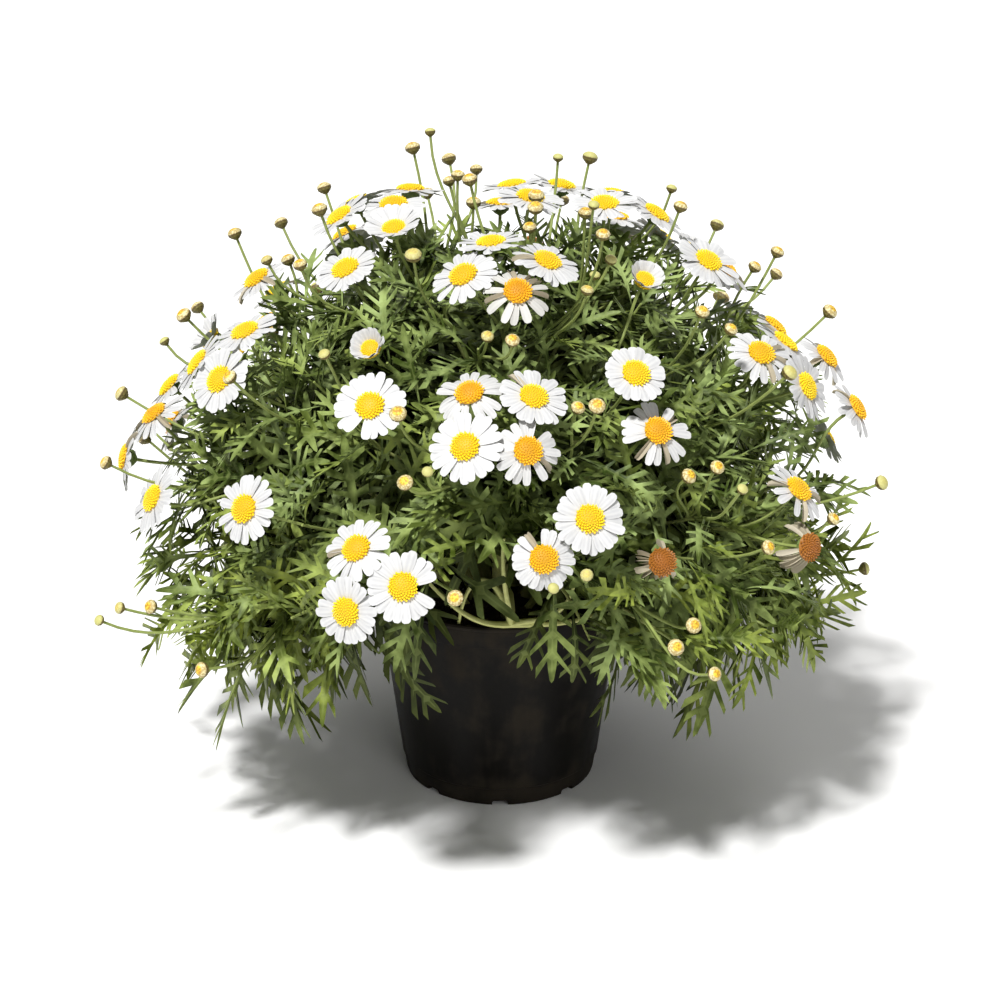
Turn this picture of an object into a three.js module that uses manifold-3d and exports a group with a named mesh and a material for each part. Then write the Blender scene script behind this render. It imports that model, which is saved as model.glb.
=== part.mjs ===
// A marguerite daisy in full bloom, growing in a round black nursery pot.
// Five leafy branches stand in the soil. Each forks into shoots with cut, drooping leaves,
// buds on slender stalks, clusters of white daisies with yellow discs, and flowers that stand alone.
// Units are millimetres, +Z is up, and the origin is the centre of the pot's flat base.
import * as THREE from "three";
import { mergeVertices } from "three/addons/utils/BufferGeometryUtils.js";
import Module from "manifold-3d";

const wasm = await Module();
wasm.setup();

// Driving dimensions: the pot and its soil
const POT_HEIGHT = 122;
const POT_BASE_RADIUS = 54;
const POT_SHOULDER_RADIUS = 70.4;
const POT_RIM_RADIUS = 75.5;
const RIM_BAND_HEIGHT = 14;
const WALL = 1.2;
const POT_FLOOR = 2;
const POT_SIDES = 28;
const DRAIN_HOLES = 8;
const DRAIN_HOLE_RADIUS = 4.5;
const DRAIN_CIRCLE_RADIUS = 34;
const FOOT_NOTCHES = 8;
const NOTCH_WIDTH = 9;
const NOTCH_DEPTH = 6;
const NOTCH_HEIGHT = 3.2;
const HOLE_SIDES = 6;
const SOIL_SIDES = 20;
const SOIL_TOP = 103;
const SOIL_CROWN = 5;
const CLEARANCE = 0.3;

// Driving dimensions: the plant
const SEED = 11;
const BRANCHES = 5;
const FRONT = -90;
const CROWN = new THREE.Vector3(0, 0, 128);
const FOOT_CIRCLE_RADIUS = 15;
const FOOT_DEPTH = 30;
const FORK_CIRCLE_RADIUS = 22;
const FOOT_RADIUS = 4.6;
const KNOT_RADIUS = 6.5;
const FORK_HEIGHT = 132;
const FOOT_SIDES = 5;
const STALK_STEPS = 2;
const BUD_SIDES = 4;
const CUP_SIDES = 3;
const DISC_SIDES = 6;
const WOOD_RADIUS = 3.6;
const CORE_RADIUS = 36;
const CORE_LEAVES = 3;
const LEAF_LENGTH = 62;
const LEAF_THICKNESS = 1.1;
const LEAF_SHELL = 196;
const GOLDEN_ANGLE = 137.508;
const STALK_RADIUS = 1.1;
const BLOOM_SHELL = 213;
const BLOOM_RADIUS = 18.5;
const BLOOM_PITCH = 31.5;
const RAYS_PER_BLOOM = 10;
const DISC_RADIUS = 6.7;
const BUD_RADIUS = 4.2;

// The kinds of shoot. lean and tipLean are degrees from upright, of the shoot's end as seen from
// the crown and of its last stretch; aside is the azimuth from the branch's own heading.
const SHOOT_KINDS = {
  top: { lean: 20, tipLean: 16, reach: 168, rise: 52, leaves: 4, sag: 0.1 },
  shoulder: { lean: 47, tipLean: 50, reach: 165, rise: 44, leaves: 4, sag: 0.2 },
  side: { lean: 67, tipLean: 76, reach: 164, rise: 30, leaves: 3, sag: 0.35 },
  rim: { lean: 84, tipLean: 112, reach: 156, rise: 38, leaves: 4, sag: 0.4 },
  skirt: { lean: 92, tipLean: 128, reach: 156, rise: 40, leaves: 4, sag: 0.5 },
};
const SHOOTS = [
  { kind: "side", branch: 0, aside: -18, blooms: 3, buds: 1 },
  { kind: "side", branch: 1, aside: -18, blooms: 2, buds: 2 },
  { kind: "side", branch: 2, aside: -18, blooms: 3, buds: 1 },
  { kind: "side", branch: 3, aside: -18, blooms: 2, buds: 2 },
  { kind: "side", branch: 4, aside: -18, blooms: 2, buds: 2 },
  { kind: "rim", branch: 0, aside: 18, blooms: 0, buds: 0 },
  { kind: "skirt", branch: 1, aside: 18, blooms: 0, buds: 1 },
  { kind: "skirt", branch: 2, aside: 18, blooms: 0, buds: 1 },
  { kind: "skirt", branch: 3, aside: 18, blooms: 0, buds: 1 },
  { kind: "skirt", branch: 4, aside: 18, blooms: 0, buds: 1 },
  { kind: "shoulder", branch: 0, aside: 2, blooms: 4, buds: 2 },
  { kind: "shoulder", branch: 1, aside: -3, blooms: 3, buds: 2 },
  { kind: "shoulder", branch: 2, aside: 4, blooms: 3, buds: 2 },
  { kind: "shoulder", branch: 3, aside: -4, blooms: 3, buds: 2 },
  { kind: "shoulder", branch: 4, aside: 3, blooms: 3, buds: 2 },
  { kind: "top", branch: 0, aside: 0, blooms: 4, buds: 2 },
  { kind: "top", branch: 2, aside: -24, blooms: 3, buds: 2 },
  { kind: "top", branch: 3, aside: 24, blooms: 4, buds: 2 },
];

// Small helpers
const ORIGIN = new THREE.Vector3(0, 0, 0);
const UP = new THREE.Vector3(0, 0, 1);
const radians = THREE.MathUtils.degToRad;
const lerp = THREE.MathUtils.lerp;

// A seeded draw from 0 to 1: the same number n always gives the same value.
function draw(n) {
  const x = Math.sin((n + SEED) * 12.9898) * 43758.5453;
  return x - Math.floor(x);
}

function spread(n, width) {
  return (draw(n) - 0.5) * width;
}

// A unit vector that leans from upright towards an azimuth, both in degrees.
function heading(lean, azimuth) {
  const flat = Math.sin(radians(lean));
  const a = radians(azimuth);
  return new THREE.Vector3(flat * Math.cos(a), flat * Math.sin(a), Math.cos(radians(lean)));
}

function moved(point, ...steps) {
  const result = point.clone();
  for (const [direction, distance] of steps) result.addScaledVector(direction, distance);
  return result;
}

// A closed geometry as a solid, with its shared vertices merged and its collapsed triangles dropped.
function solidFrom(geometry) {
  const bare = new THREE.BufferGeometry();
  bare.setAttribute("position", geometry.getAttribute("position"));
  bare.setIndex(geometry.index);
  const merged = mergeVertices(bare, 1e-4);
  const index = merged.index.array;
  const kept = [];
  for (let i = 0; i < index.length; i += 3) {
    const [a, b, c] = [index[i], index[i + 1], index[i + 2]];
    if (a !== b && b !== c && c !== a) kept.push(a, b, c);
  }
  const vertProperties = merged.getAttribute("position").array;
  return new wasm.Manifold(new wasm.Mesh({ numProp: 3, vertProperties, triVerts: new Uint32Array(kept) }));
}

function solidFromFaces(points, faces) {
  const geometry = new THREE.BufferGeometry();
  geometry.setAttribute("position", new THREE.Float32BufferAttribute(points.flatMap((p) => p.toArray()), 3));
  geometry.setIndex(faces.flat());
  return solidFrom(geometry);
}

function meshFrom(solid, name, material) {
  const { vertProperties, triVerts } = solid.simplify(0.1).getMesh();
  const geometry = new THREE.BufferGeometry();
  geometry.setAttribute("position", new THREE.BufferAttribute(new Float32Array(vertProperties), 3));
  geometry.setIndex(new THREE.BufferAttribute(new Uint32Array(triVerts), 1));
  const flat = geometry.toNonIndexed();
  flat.computeVertexNormals();
  const mesh = new THREE.Mesh(flat, material);
  mesh.name = name;
  return mesh;
}

function joined(solids) {
  return wasm.Manifold.union(solids);
}

// A profile of [radius, height] points turned round the Z axis.
function turned(profile, sides) {
  const points = profile.map(([r, z]) => new THREE.Vector2(r, z));
  return new THREE.LatheGeometry(points, sides).rotateX(Math.PI / 2);
}

// A skin over rings of points that follow one another, closed at both ends.
function skinned(rings) {
  const sides = rings[0].length;
  const faces = [];
  for (let i = 0; i + 1 < rings.length; i++)
    for (let k = 0; k < sides; k++) {
      const a = i * sides + k;
      const b = i * sides + ((k + 1) % sides);
      faces.push([a, b, b + sides], [a, b + sides, a + sides]);
    }
  const last = (rings.length - 1) * sides;
  for (let k = 1; k + 1 < sides; k++) {
    faces.push([0, k + 1, k]);
    faces.push([last, last + k, last + k + 1]);
  }
  return solidFromFaces(rings.flat(), faces);
}

// A tube of changing radius along a run of points.
function taperedTube(path, radii, sides, side) {
  const rings = path.map((centre, i) => {
    const ahead = path[Math.min(i + 1, path.length - 1)];
    const behind = path[Math.max(i - 1, 0)];
    const along = ahead.clone().sub(behind).normalize();
    const u = moved(side, [along, -side.dot(along)]).normalize();
    const v = along.clone().cross(u);
    return Array.from({ length: sides }, (_, k) => {
      const a = (2 * Math.PI * k) / sides;
      return moved(centre, [u, radii[i] * Math.cos(a)], [v, radii[i] * Math.sin(a)]);
    });
  });
  return skinned(rings);
}

// A round form on a stalk's end: rings of [radius, height] stacked along an axis.
function stackedRings(base, axis, rings, sides, side) {
  const path = rings.map(([, height]) => moved(base, [axis, height]));
  return taperedTube(path, rings.map(([radius]) => radius), sides, side);
}

// Materials
const potPlastic = new THREE.MeshStandardMaterial({ color: 0x17181a, roughness: 0.42, metalness: 0 });
const pottingSoil = new THREE.MeshStandardMaterial({ color: 0x2b1d14, roughness: 0.95, metalness: 0 });
const foliage = new THREE.MeshStandardMaterial({ color: 0x4d6a38, roughness: 0.7, metalness: 0 });
const whiteRays = new THREE.MeshStandardMaterial({ color: 0xf6f6f1, roughness: 0.6, metalness: 0 });
const yellowDisc = new THREE.MeshStandardMaterial({ color: 0xf2b705, roughness: 0.75, metalness: 0 });

// The pot: a thin tapered shell with a standing rim band, drain holes and notches at its foot
function potSolid() {
  const band = POT_HEIGHT - RIM_BAND_HEIGHT;
  const shell = solidFrom(
    turned(
      [
        [0, 0],
        [POT_BASE_RADIUS - 1.5, 0],
        [POT_BASE_RADIUS, 1.5],
        [POT_SHOULDER_RADIUS, band - 1.5],
        [POT_RIM_RADIUS - 2.4, band],
        [POT_RIM_RADIUS, POT_HEIGHT - 1.8],
        [POT_RIM_RADIUS, POT_HEIGHT],
        [POT_RIM_RADIUS - 2.6, POT_HEIGHT],
        [POT_RIM_RADIUS - 2.4 - WALL, band],
        [POT_SHOULDER_RADIUS - WALL, band - 1.5 - WALL],
        [POT_BASE_RADIUS - WALL, POT_FLOOR],
        [0, POT_FLOOR],
      ],
      POT_SIDES,
    ),
  );
  const cuts = [];
  for (let k = 0; k < DRAIN_HOLES; k++) {
    const a = (2 * Math.PI * (k + 0.5)) / DRAIN_HOLES;
    const hole = new THREE.CylinderGeometry(DRAIN_HOLE_RADIUS, DRAIN_HOLE_RADIUS, 3 * POT_FLOOR, HOLE_SIDES);
    hole.rotateX(Math.PI / 2);
    hole.translate(DRAIN_CIRCLE_RADIUS * Math.cos(a), DRAIN_CIRCLE_RADIUS * Math.sin(a), 0);
    cuts.push(solidFrom(hole));
  }
  for (let k = 0; k < FOOT_NOTCHES; k++) {
    const notch = new THREE.BoxGeometry(2 * NOTCH_DEPTH, NOTCH_WIDTH, 2 * NOTCH_HEIGHT);
    notch.translate(POT_BASE_RADIUS, 0, 0);
    notch.rotateZ((2 * Math.PI * k) / FOOT_NOTCHES);
    cuts.push(solidFrom(notch));
  }
  return shell.subtract(joined(cuts));
}

// The crumbly soil surface, higher in the middle, in millimetres above the soil's edge
function soilRelief(x, y) {
  const fromCentre = Math.hypot(x, y) / POT_SHOULDER_RADIUS;
  const crumbs = Math.sin(x * 0.31 + 1.3) * Math.cos(y * 0.27 - 0.4) + 0.6 * Math.sin(x * 0.11 - y * 0.19);
  return SOIL_CROWN * (1 - fromCentre * fromCentre) + 1.1 * crumbs;
}

function soilSolid() {
  const gap = 2 * CLEARANCE;
  const slope = (POT_SHOULDER_RADIUS - POT_BASE_RADIUS) / (POT_HEIGHT - RIM_BAND_HEIGHT);
  const edge = POT_BASE_RADIUS - WALL + slope * SOIL_TOP - gap;
  const bed = turned(
    [
      [0, POT_FLOOR + CLEARANCE],
      [POT_BASE_RADIUS - WALL - gap, POT_FLOOR + CLEARANCE],
      [edge, SOIL_TOP - 3],
      [edge * 0.82, SOIL_TOP],
      [edge * 0.55, SOIL_TOP],
      [edge * 0.28, SOIL_TOP],
      [0, SOIL_TOP],
    ],
    SOIL_SIDES,
  );
  const position = bed.getAttribute("position");
  for (let i = 0; i < position.count; i++)
    if (position.getZ(i) > SOIL_TOP - 1)
      position.setZ(i, SOIL_TOP + soilRelief(position.getX(i), position.getY(i)));
  const fit = FOOT_RADIUS + CLEARANCE;
  const holes = branches.map(({ foot }) => {
    const hole = new THREE.CylinderGeometry(fit, fit, 2 * FOOT_DEPTH, HOLE_SIDES);
    hole.rotateX(Math.PI / 2);
    hole.translate(foot.x, foot.y, SOIL_TOP + SOIL_CROWN - CLEARANCE);
    return solidFrom(hole);
  });
  return solidFrom(bed).subtract(joined(holes));
}

// The branches' feet and forks, in a ring round the pot's axis
const branches = Array.from({ length: BRANCHES }, (_, b) => {
  const azimuth = FRONT + (360 * b) / BRANCHES;
  const out = heading(90, azimuth);
  const foot = moved(ORIGIN, [out, FOOT_CIRCLE_RADIUS], [UP, SOIL_TOP + SOIL_CROWN - FOOT_DEPTH]);
  const fork = moved(ORIGIN, [out, FORK_CIRCLE_RADIUS], [UP, FORK_HEIGHT]);
  return { azimuth, foot, fork };
});

// Each shoot's curve from its branch's fork to its tip, with the frame that its leaves and blooms use
const shoots = SHOOTS.map((entry, i) => {
  const kind = SHOOT_KINDS[entry.kind];
  const branch = branches[entry.branch];
  const azimuth = branch.azimuth + entry.aside + spread(i * 7 + 1, 5);
  const outward = heading(kind.lean + spread(i * 7 + 2, 5), azimuth);
  const tip = moved(CROWN, [outward, kind.reach + spread(i * 7 + 3, 8)]);
  const tangent = heading(kind.tipLean, azimuth);
  const curve = new THREE.CubicBezierCurve3(
    branch.fork,
    moved(branch.fork, [UP, kind.rise], [heading(90, azimuth), kind.rise * 0.3]),
    moved(tip, [tangent, -kind.reach * 0.36]),
    tip,
  );
  const across = heading(90, azimuth + 90);
  return { ...entry, kind, number: i, outward, tangent, curve, across };
});

// How far a point is from the nearest shoot of one branch, or of all the other branches
const AXIS_SAMPLES = 12;
const BRANCH_GAP = 5;
const POT_GAP = 5;
const axes = shoots.map(({ curve }) => curve.getPoints(AXIS_SAMPLES));

function distanceToShoots(point, belongs) {
  let nearest = Infinity;
  shoots.forEach((shoot, i) => {
    if (belongs(shoot)) for (const p of axes[i]) nearest = Math.min(nearest, p.distanceTo(point));
  });
  return nearest;
}

// A point keeps clear if it stays on its own branch's side, under the blooms and off the pot.
function keepsClear(point, branch) {
  const own = distanceToShoots(point, (shoot) => shoot.branch === branch);
  const other = distanceToShoots(point, (shoot) => shoot.branch !== branch);
  const besidePot = Math.hypot(point.x, point.y) > POT_RIM_RADIUS + POT_GAP;
  const offPot = besidePot || point.z > POT_HEIGHT + POT_GAP;
  return offPot && other - own > BRANCH_GAP && point.distanceTo(CROWN) < LEAF_SHELL;
}

// A cut leaf: a thin arched blade with two pairs of forward-pointing lobes. The outline is one side's
// points as [share of the length, half-width as a share of the length], from root to tip.
const LEAF_OUTLINE = [
  [0, 0.025],
  [0.38, 0.034],
  [0.64, 0.2],
  [0.56, 0.038],
  [0.87, 0.18],
  [0.78, 0.036],
  [1, 0],
];
const LEAF_RIB = [0, 0.5];
const LEAF_TROUGH = 0.22;
// Which rib point each stretch of the outline fans from
const LEAF_FAN = [0, 1, 1, 1, 1, 1];

function leafPoint(leaf, share, halfWidth, lift) {
  const { root, along, across, face, length, sag } = leaf;
  const rise = lift + LEAF_TROUGH * Math.abs(halfWidth) * length;
  const droop = sag * share * share * length;
  return moved(root, [along, share * length], [across, halfWidth * length], [face, rise], [UP, -droop]);
}

function leafIsClear(leaf, branch) {
  return LEAF_OUTLINE.slice(2).every(([share, halfWidth]) =>
    [-1, 1].every((sign) => keepsClear(leafPoint(leaf, share, sign * halfWidth, 0), branch)),
  );
}

function leafSolid(leaf) {
  const rib = LEAF_RIB.length;
  const rim = LEAF_OUTLINE.length - 1;
  const points = [
    ...LEAF_RIB.map((share) => leafPoint(leaf, share, 0, LEAF_THICKNESS / 2)),
    ...LEAF_RIB.map((share) => leafPoint(leaf, share, 0, -LEAF_THICKNESS / 2)),
    ...LEAF_OUTLINE.slice(0, rim).map(([share, w]) => leafPoint(leaf, share, w, 0)),
    ...LEAF_OUTLINE.slice(0, rim).map(([share, w]) => leafPoint(leaf, share, -w, 0)),
    leafPoint(leaf, 1, 0, 0),
  ];
  const tip = points.length - 1;
  const faces = [];
  for (const under of [0, 1])
    for (const right of [0, 1]) {
      const ribAt = (i) => (i < rib ? under * rib + i : tip);
      const rimAt = (i) => (i < rim ? 2 * rib + right * rim + i : tip);
      const add = (a, b, c) => faces.push(under === right ? [a, b, c] : [a, c, b]);
      LEAF_FAN.forEach((from, i) => {
        add(ribAt(from), rimAt(i), rimAt(i + 1));
        const next = LEAF_FAN[i + 1];
        if (next !== undefined && next !== from) add(ribAt(from), rimAt(i + 1), ribAt(next));
      });
    }
  const [left, right] = [2 * rib, 2 * rib + rim];
  faces.push([0, rib, left], [0, right, rib]);
  return solidFromFaces(points, faces);
}

// A leaf starts at its shoot's axis. One that would leave its branch's space is first held closer to
// the shoot, then made shorter, until it is clear.
function leafOn(shoot, k) {
  const { kind, curve, across, branch, number } = shoot;
  const n = 1000 + number * 40 + k;
  const share = k / (kind.leaves - 1);
  const at = lerp(0.5, 0.94, share);
  const along = curve.getTangent(at);
  const inPlane = across.clone().cross(along).normalize();
  const turn = radians(k * GOLDEN_ANGLE + number * 41);
  const away = moved(ORIGIN, [inPlane, Math.cos(turn)], [across, Math.sin(turn)]).normalize();
  const leaf = { root: curve.getPoint(at), sag: kind.sag };
  const lengthAtFirst = LEAF_LENGTH * (lerp(1.05, 0.85, share) + spread(n, 0.2));
  for (let tries = 0; tries < 12; tries++) {
    const degrees = Math.max(24, lerp(72, 38, share) - 9 * tries);
    const open = radians(degrees);
    leaf.length = lengthAtFirst * (tries < 5 ? 1 : 0.88 ** (tries - 4));
    leaf.along = moved(ORIGIN, [along, Math.cos(open)], [away, Math.sin(open)]);
    leaf.face = moved(along, [leaf.along, -along.dot(leaf.along)]).normalize();
    leaf.across = leaf.along.clone().cross(leaf.face).normalize();
    if (leafIsClear(leaf, branch)) return leafSolid(leaf);
  }
  return null;
}

// A shoot: a slim woody stretch, then rings of pointed leaves pressed together, which its cut leaves
// stand out of. Each ring is turned half a step from the one below, its tips held forward, and a tip
// that would leave its branch's space is drawn in.
const SHOOT_SWELL = [0, 0.7, 1, 0.95, 0.75, 0];
const CORE_VALLEY = 0.3;
const CORE_FORWARD = 0.45;

function shootRing(shoot, swell, i) {
  const { curve, number, across, branch } = shoot;
  const at = i / (SHOOT_SWELL.length - 1);
  const [centre, along] = [curve.getPoint(at), curve.getTangent(at)];
  const v = along.clone().cross(across);
  return Array.from({ length: 2 * CORE_LEAVES }, (_, k) => {
    const a = (Math.PI * (k + 0.5)) / CORE_LEAVES;
    const radial = moved(ORIGIN, [across, Math.cos(a)], [v, Math.sin(a)]);
    const isTip = swell && (k + i) % 2;
    if (!isTip) return moved(centre, [radial, Math.max(WOOD_RADIUS, CORE_RADIUS * CORE_VALLEY * swell)]);
    let reach = CORE_RADIUS * swell * (1 + spread(7000 + number * 100 + i * 12 + k, 0.5));
    const tip = () => moved(centre, [radial, reach], [along, CORE_FORWARD * reach]);
    while (reach > 1.2 * CORE_RADIUS * CORE_VALLEY * swell && !keepsClear(tip(), branch)) reach *= 0.9;
    return tip();
  });
}

function shootSolids(shoot) {
  const leaves = Array.from({ length: shoot.kind.leaves }, (_, k) => leafOn(shoot, k));
  return [skinned(SHOOT_SWELL.map((swell, i) => shootRing(shoot, swell, i))), ...leaves.filter(Boolean)];
}

// A slender stalk that leaves a shoot and swells at its end into a cup or a bud, whose rings are
// [radius, height] along the way that it faces
function stalkSolid(from, start, centre, facing, rings, sides, side) {
  const ends = rings.map(([, height]) => moved(centre, [facing, height]));
  const span = from.distanceTo(ends[0]);
  const bend = [moved(from, [start, span * 0.4]), moved(ends[0], [facing, -span * 0.42])];
  const stalk = new THREE.CubicBezierCurve3(from, ...bend, ends[0]).getPoints(STALK_STEPS).slice(0, -1);
  const radii = [...stalk.map(() => STALK_RADIUS), ...rings.map(([radius]) => radius)];
  return taperedTube([...stalk, ...ends], radii, sides, side);
}

// Buds on stalks at both sides of a shoot
const BUD_RINGS = [
  [1.4, -1],
  [BUD_RADIUS, 2.8],
  [BUD_RADIUS * 0.6, 6.6],
];

function budSolid(shoot, j) {
  const { number, outward, across, curve, tangent, blooms } = shoot;
  const n = 3000 + number * 10 + j;
  const sign = j % 2 ? -1 : 1;
  const aside = blooms ? 50 : 16;
  const reach = blooms ? BLOOM_SHELL + 12 + spread(n, 16) : BLOOM_SHELL - 8;
  const centre = moved(CROWN, [outward, reach], [across, sign * (aside + spread(n + 5, 6))]);
  const facing = moved(outward, [UP, 0.25], [across, sign * 0.1]).normalize();
  const from = curve.getPoint(0.9);
  const start = moved(tangent, [across, sign * (blooms ? 1.6 : 0.4)]).normalize();
  return stalkSolid(from, start, centre, facing, BUD_RINGS, BUD_SIDES, across);
}

// The blooms of a cluster stand in a ring round its axis and splay outwards, so that neighbours'
// rays cross at their tips and the white of a cluster holds together.
const SPLAY = 0.36;

function clusterBlooms(shoot) {
  const { number, outward, curve, tangent, blooms, across } = shoot;
  if (!blooms) return [];
  const axis = moved(outward, [UP, 0.22]).normalize();
  const centre = moved(CROWN, [outward, BLOOM_SHELL]);
  const e1 = moved(across, [axis, -across.dot(axis)]).normalize();
  const e2 = axis.clone().cross(e1);
  const ring = BLOOM_PITCH / (2 * Math.sin(Math.PI / blooms));
  const first = radians(number * 67);
  const stalkFrom = curve.getPoint(0.93);
  return Array.from({ length: blooms }, (_, j) => {
    const n = 5000 + number * 10 + j;
    const a = first + (2 * Math.PI * j) / blooms + spread(n, 0.12);
    const radial = moved(ORIGIN, [e1, Math.cos(a)], [e2, Math.sin(a)]);
    const facing = moved(axis, [radial, SPLAY + spread(n + 3, 0.1)]).normalize();
    const base = moved(centre, [radial, ring + spread(n + 5, 1)], [axis, spread(n + 7, 1.4)]);
    const radius = BLOOM_RADIUS + spread(n + 9, 1.6);
    const side = moved(e1, [facing, -e1.dot(facing)]).normalize();
    return { base, facing, radius, side, turn: draw(n + 11), stalkFrom, stalkStart: tangent };
  });
}

// How thick a bloom's star of rays is at its middle, to each side
const RAY_HUB = 1.2;

// The green cup and stalk under a bloom
const CUP_RINGS = [
  [STALK_RADIUS * 1.3, -6],
  [5.6, -1.5],
];

function cupSolid({ base, facing, side, stalkFrom, stalkStart }) {
  return stalkSolid(stalkFrom, stalkStart, base, facing, CUP_RINGS, CUP_SIDES, side);
}

// Lone blooms and pairs stand between the clusters, evenly over the dome, up to LONE_LEAN degrees from
// upright and less in front. Some are half open, and smaller.
const LONE_PLACES = 150;
const LONE_LEAN = 80;
const BLOOMS_APART = 44;
const PAIR_APART = 29.5;
const PAIR_PITCH = 31.5;
const PAIR_SHARE = 0.4;

function loneBloom(outward, n) {
  const shoot = shoots.reduce((best, s) => (s.outward.dot(outward) > best.outward.dot(outward) ? s : best));
  const base = moved(CROWN, [outward, BLOOM_SHELL - 3 + spread(n, 16)]);
  const tilt = heading(90, 360 * draw(n + 1));
  const facing = moved(outward, [UP, 0.25], [heading(90, FRONT), 0.2], [tilt, 0.25 * draw(n + 2)]).normalize();
  const open = draw(n + 5) > 0.16 ? 1 : 0.15 + 0.5 * draw(n + 6);
  const radius = (BLOOM_RADIUS - 0.8 + spread(n + 3, 3)) * (0.62 + 0.38 * open);
  const side = moved(shoot.across, [facing, -shoot.across.dot(facing)]).normalize();
  return { shoot, base, facing, radius, side, turn: draw(n + 7) };
}

function loneBlooms() {
  const centres = shoots.flatMap(clusterBlooms).map(({ base }) => base);
  const lone = [];
  const hasRoom = ({ base }, apart) => centres.every((centre) => centre.distanceTo(base) > apart);
  const add = (bloom) => {
    lone.push(bloom);
    centres.push(bloom.base);
  };
  const floor = 1 - Math.cos(radians(LONE_LEAN));
  for (let k = 0; k < LONE_PLACES; k++) {
    const n = 15000 + 24 * k;
    const lean = Math.acos(1 - (floor * (k + 0.2 + 0.6 * draw(n))) / LONE_PLACES) / radians(1);
    const azimuth = k * GOLDEN_ANGLE + spread(n + 1, 12) + 15;
    if (lean > LONE_LEAN - 12 * Math.max(0, Math.cos(radians(azimuth - FRONT)))) continue;
    const bloom = loneBloom(heading(lean, azimuth), n + 2);
    if (!hasRoom(bloom, BLOOMS_APART)) continue;
    add(bloom);
    if (draw(n + 12) >= PAIR_SHARE) continue;
    const away = bloom.facing.clone().cross(heading(90, 360 * draw(n + 13))).normalize();
    const beside = moved(bloom.base, [away, PAIR_PITCH], [CROWN, -1]).normalize();
    const partner = loneBloom(beside, n + 14);
    if (hasRoom(partner, PAIR_APART) && beside.angleTo(UP) < radians(LONE_LEAN)) add(partner);
  }
  return lone;
}

// A lone bloom on its long stalk, grown in one with its branch: a plain star of rays that narrows
// below to the stalk, as its cup does, and rises in its middle to the disc's height
const LONE_RAYS = 6;
const LONE_SIDES = 3;
const LONE_HUB = 4.4;
const LONE_CUP = 4.5;
const LONE_GAP = 0.5;

function loneSolid({ shoot, base, facing, radius, side, turn }, from) {
  const v = facing.clone().cross(side);
  const step = Math.PI / LONE_RAYS;
  const points = [moved(base, [facing, LONE_HUB]), moved(base, [facing, -LONE_CUP])];
  const faces = [];
  for (let k = 0; k < 2 * LONE_RAYS; k++) {
    const a = (k + turn) * step;
    const r = k % 2 ? radius : 0.72 * radius;
    points.push(moved(base, [side, r * Math.cos(a)], [v, r * Math.sin(a)], [facing, 0.3]));
    const [here, next] = [2 + k, 2 + ((k + 1) % (2 * LONE_RAYS))];
    faces.push([0, here, next], [1, next, here]);
  }
  const root = shoot.curve.getPoint(from);
  const end = moved(base, [facing, -0.3 * LONE_CUP]);
  const span = root.distanceTo(end);
  const bend = moved(end, [facing, -0.45 * span], [shoot.tangent, 0.1 * span]);
  const radii = [STALK_RADIUS, STALK_RADIUS, STALK_RADIUS];
  const stalk = taperedTube([root, bend, end], radii, LONE_SIDES, side);
  return joined([solidFromFaces(points, faces), stalk]);
}

// A lone bloom grows where it stands clear of the other branches and of all the clusters. A smaller one
// is tried before its place is left empty.
function addLoneBlooms(grown, others) {
  for (const bloom of loneBlooms()) {
    const b = bloom.shoot.branch;
    const rest = [...others, ...grown.filter((_, i) => i !== b)];
    const sizes = [1, 0.85, 0.7].flatMap((size) => [0.85, 0.7].map((from) => [size, from]));
    for (const [size, from] of sizes) {
      const solid = loneSolid({ ...bloom, radius: bloom.radius * size }, from);
      if (rest.some((other) => solid.minGap(other, LONE_GAP) < LONE_GAP)) continue;
      grown[b] = grown[b].add(solid);
      break;
    }
  }
}

// The white rays of one bloom: a star-shaped blade that is thick at its centre and thin at its edge
function raysSolid(bloom) {
  const { base, facing, radius, side, turn } = bloom;
  const v = facing.clone().cross(side);
  const step = (2 * Math.PI) / RAYS_PER_BLOOM;
  const at = (angle, r, lift) =>
    moved(base, [side, r * Math.cos(angle)], [v, r * Math.sin(angle)], [facing, lift]);
  const points = [at(0, 0, RAY_HUB), at(0, 0, -RAY_HUB)];
  for (let k = 0; k < RAYS_PER_BLOOM; k++) {
    const a = (k + turn) * step;
    points.push(at(a - 0.5 * step, radius * 0.7, 0.1));
    points.push(at(a - 0.26 * step, radius, 0.5));
    points.push(at(a + 0.26 * step, radius, 0.5));
  }
  const rim = points.length - 2;
  const faces = [];
  for (let k = 0; k < rim; k++) {
    const [a, b] = [2 + k, 2 + ((k + 1) % rim)];
    faces.push([0, a, b], [1, b, a]);
  }
  return solidFromFaces(points, faces);
}

// The domed yellow disc in the middle of a bloom
const DISC_RINGS = [
  [DISC_RADIUS, 1.5],
  [DISC_RADIUS * 0.6, 4.6],
];

function discSolid(bloom) {
  return stackedRings(bloom.base, bloom.facing, DISC_RINGS, DISC_SIDES, bloom.side);
}

// One branch: its foot in the soil, its shoots, leaves, buds, and the cups of its blooms, grown as one
function branchSolid(b) {
  const { foot, fork, azimuth } = branches[b];
  const collar = moved(foot, [UP, FOOT_DEPTH + 4]);
  const knot = [moved(fork, [UP, -7]), moved(fork, [UP, 7])];
  const radii = [FOOT_RADIUS * 0.9, FOOT_RADIUS * 0.9, KNOT_RADIUS, KNOT_RADIUS * 0.8];
  const solids = [taperedTube([foot, collar, ...knot], radii, FOOT_SIDES, heading(90, azimuth + 90))];
  for (const shoot of shoots.filter(({ branch }) => branch === b)) {
    solids.push(...shootSolids(shoot));
    for (let j = 0; j < shoot.buds; j++) solids.push(budSolid(shoot, j));
    for (const bloom of clusterBlooms(shoot)) solids.push(cupSolid(bloom));
  }
  return joined(solids);
}

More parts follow.
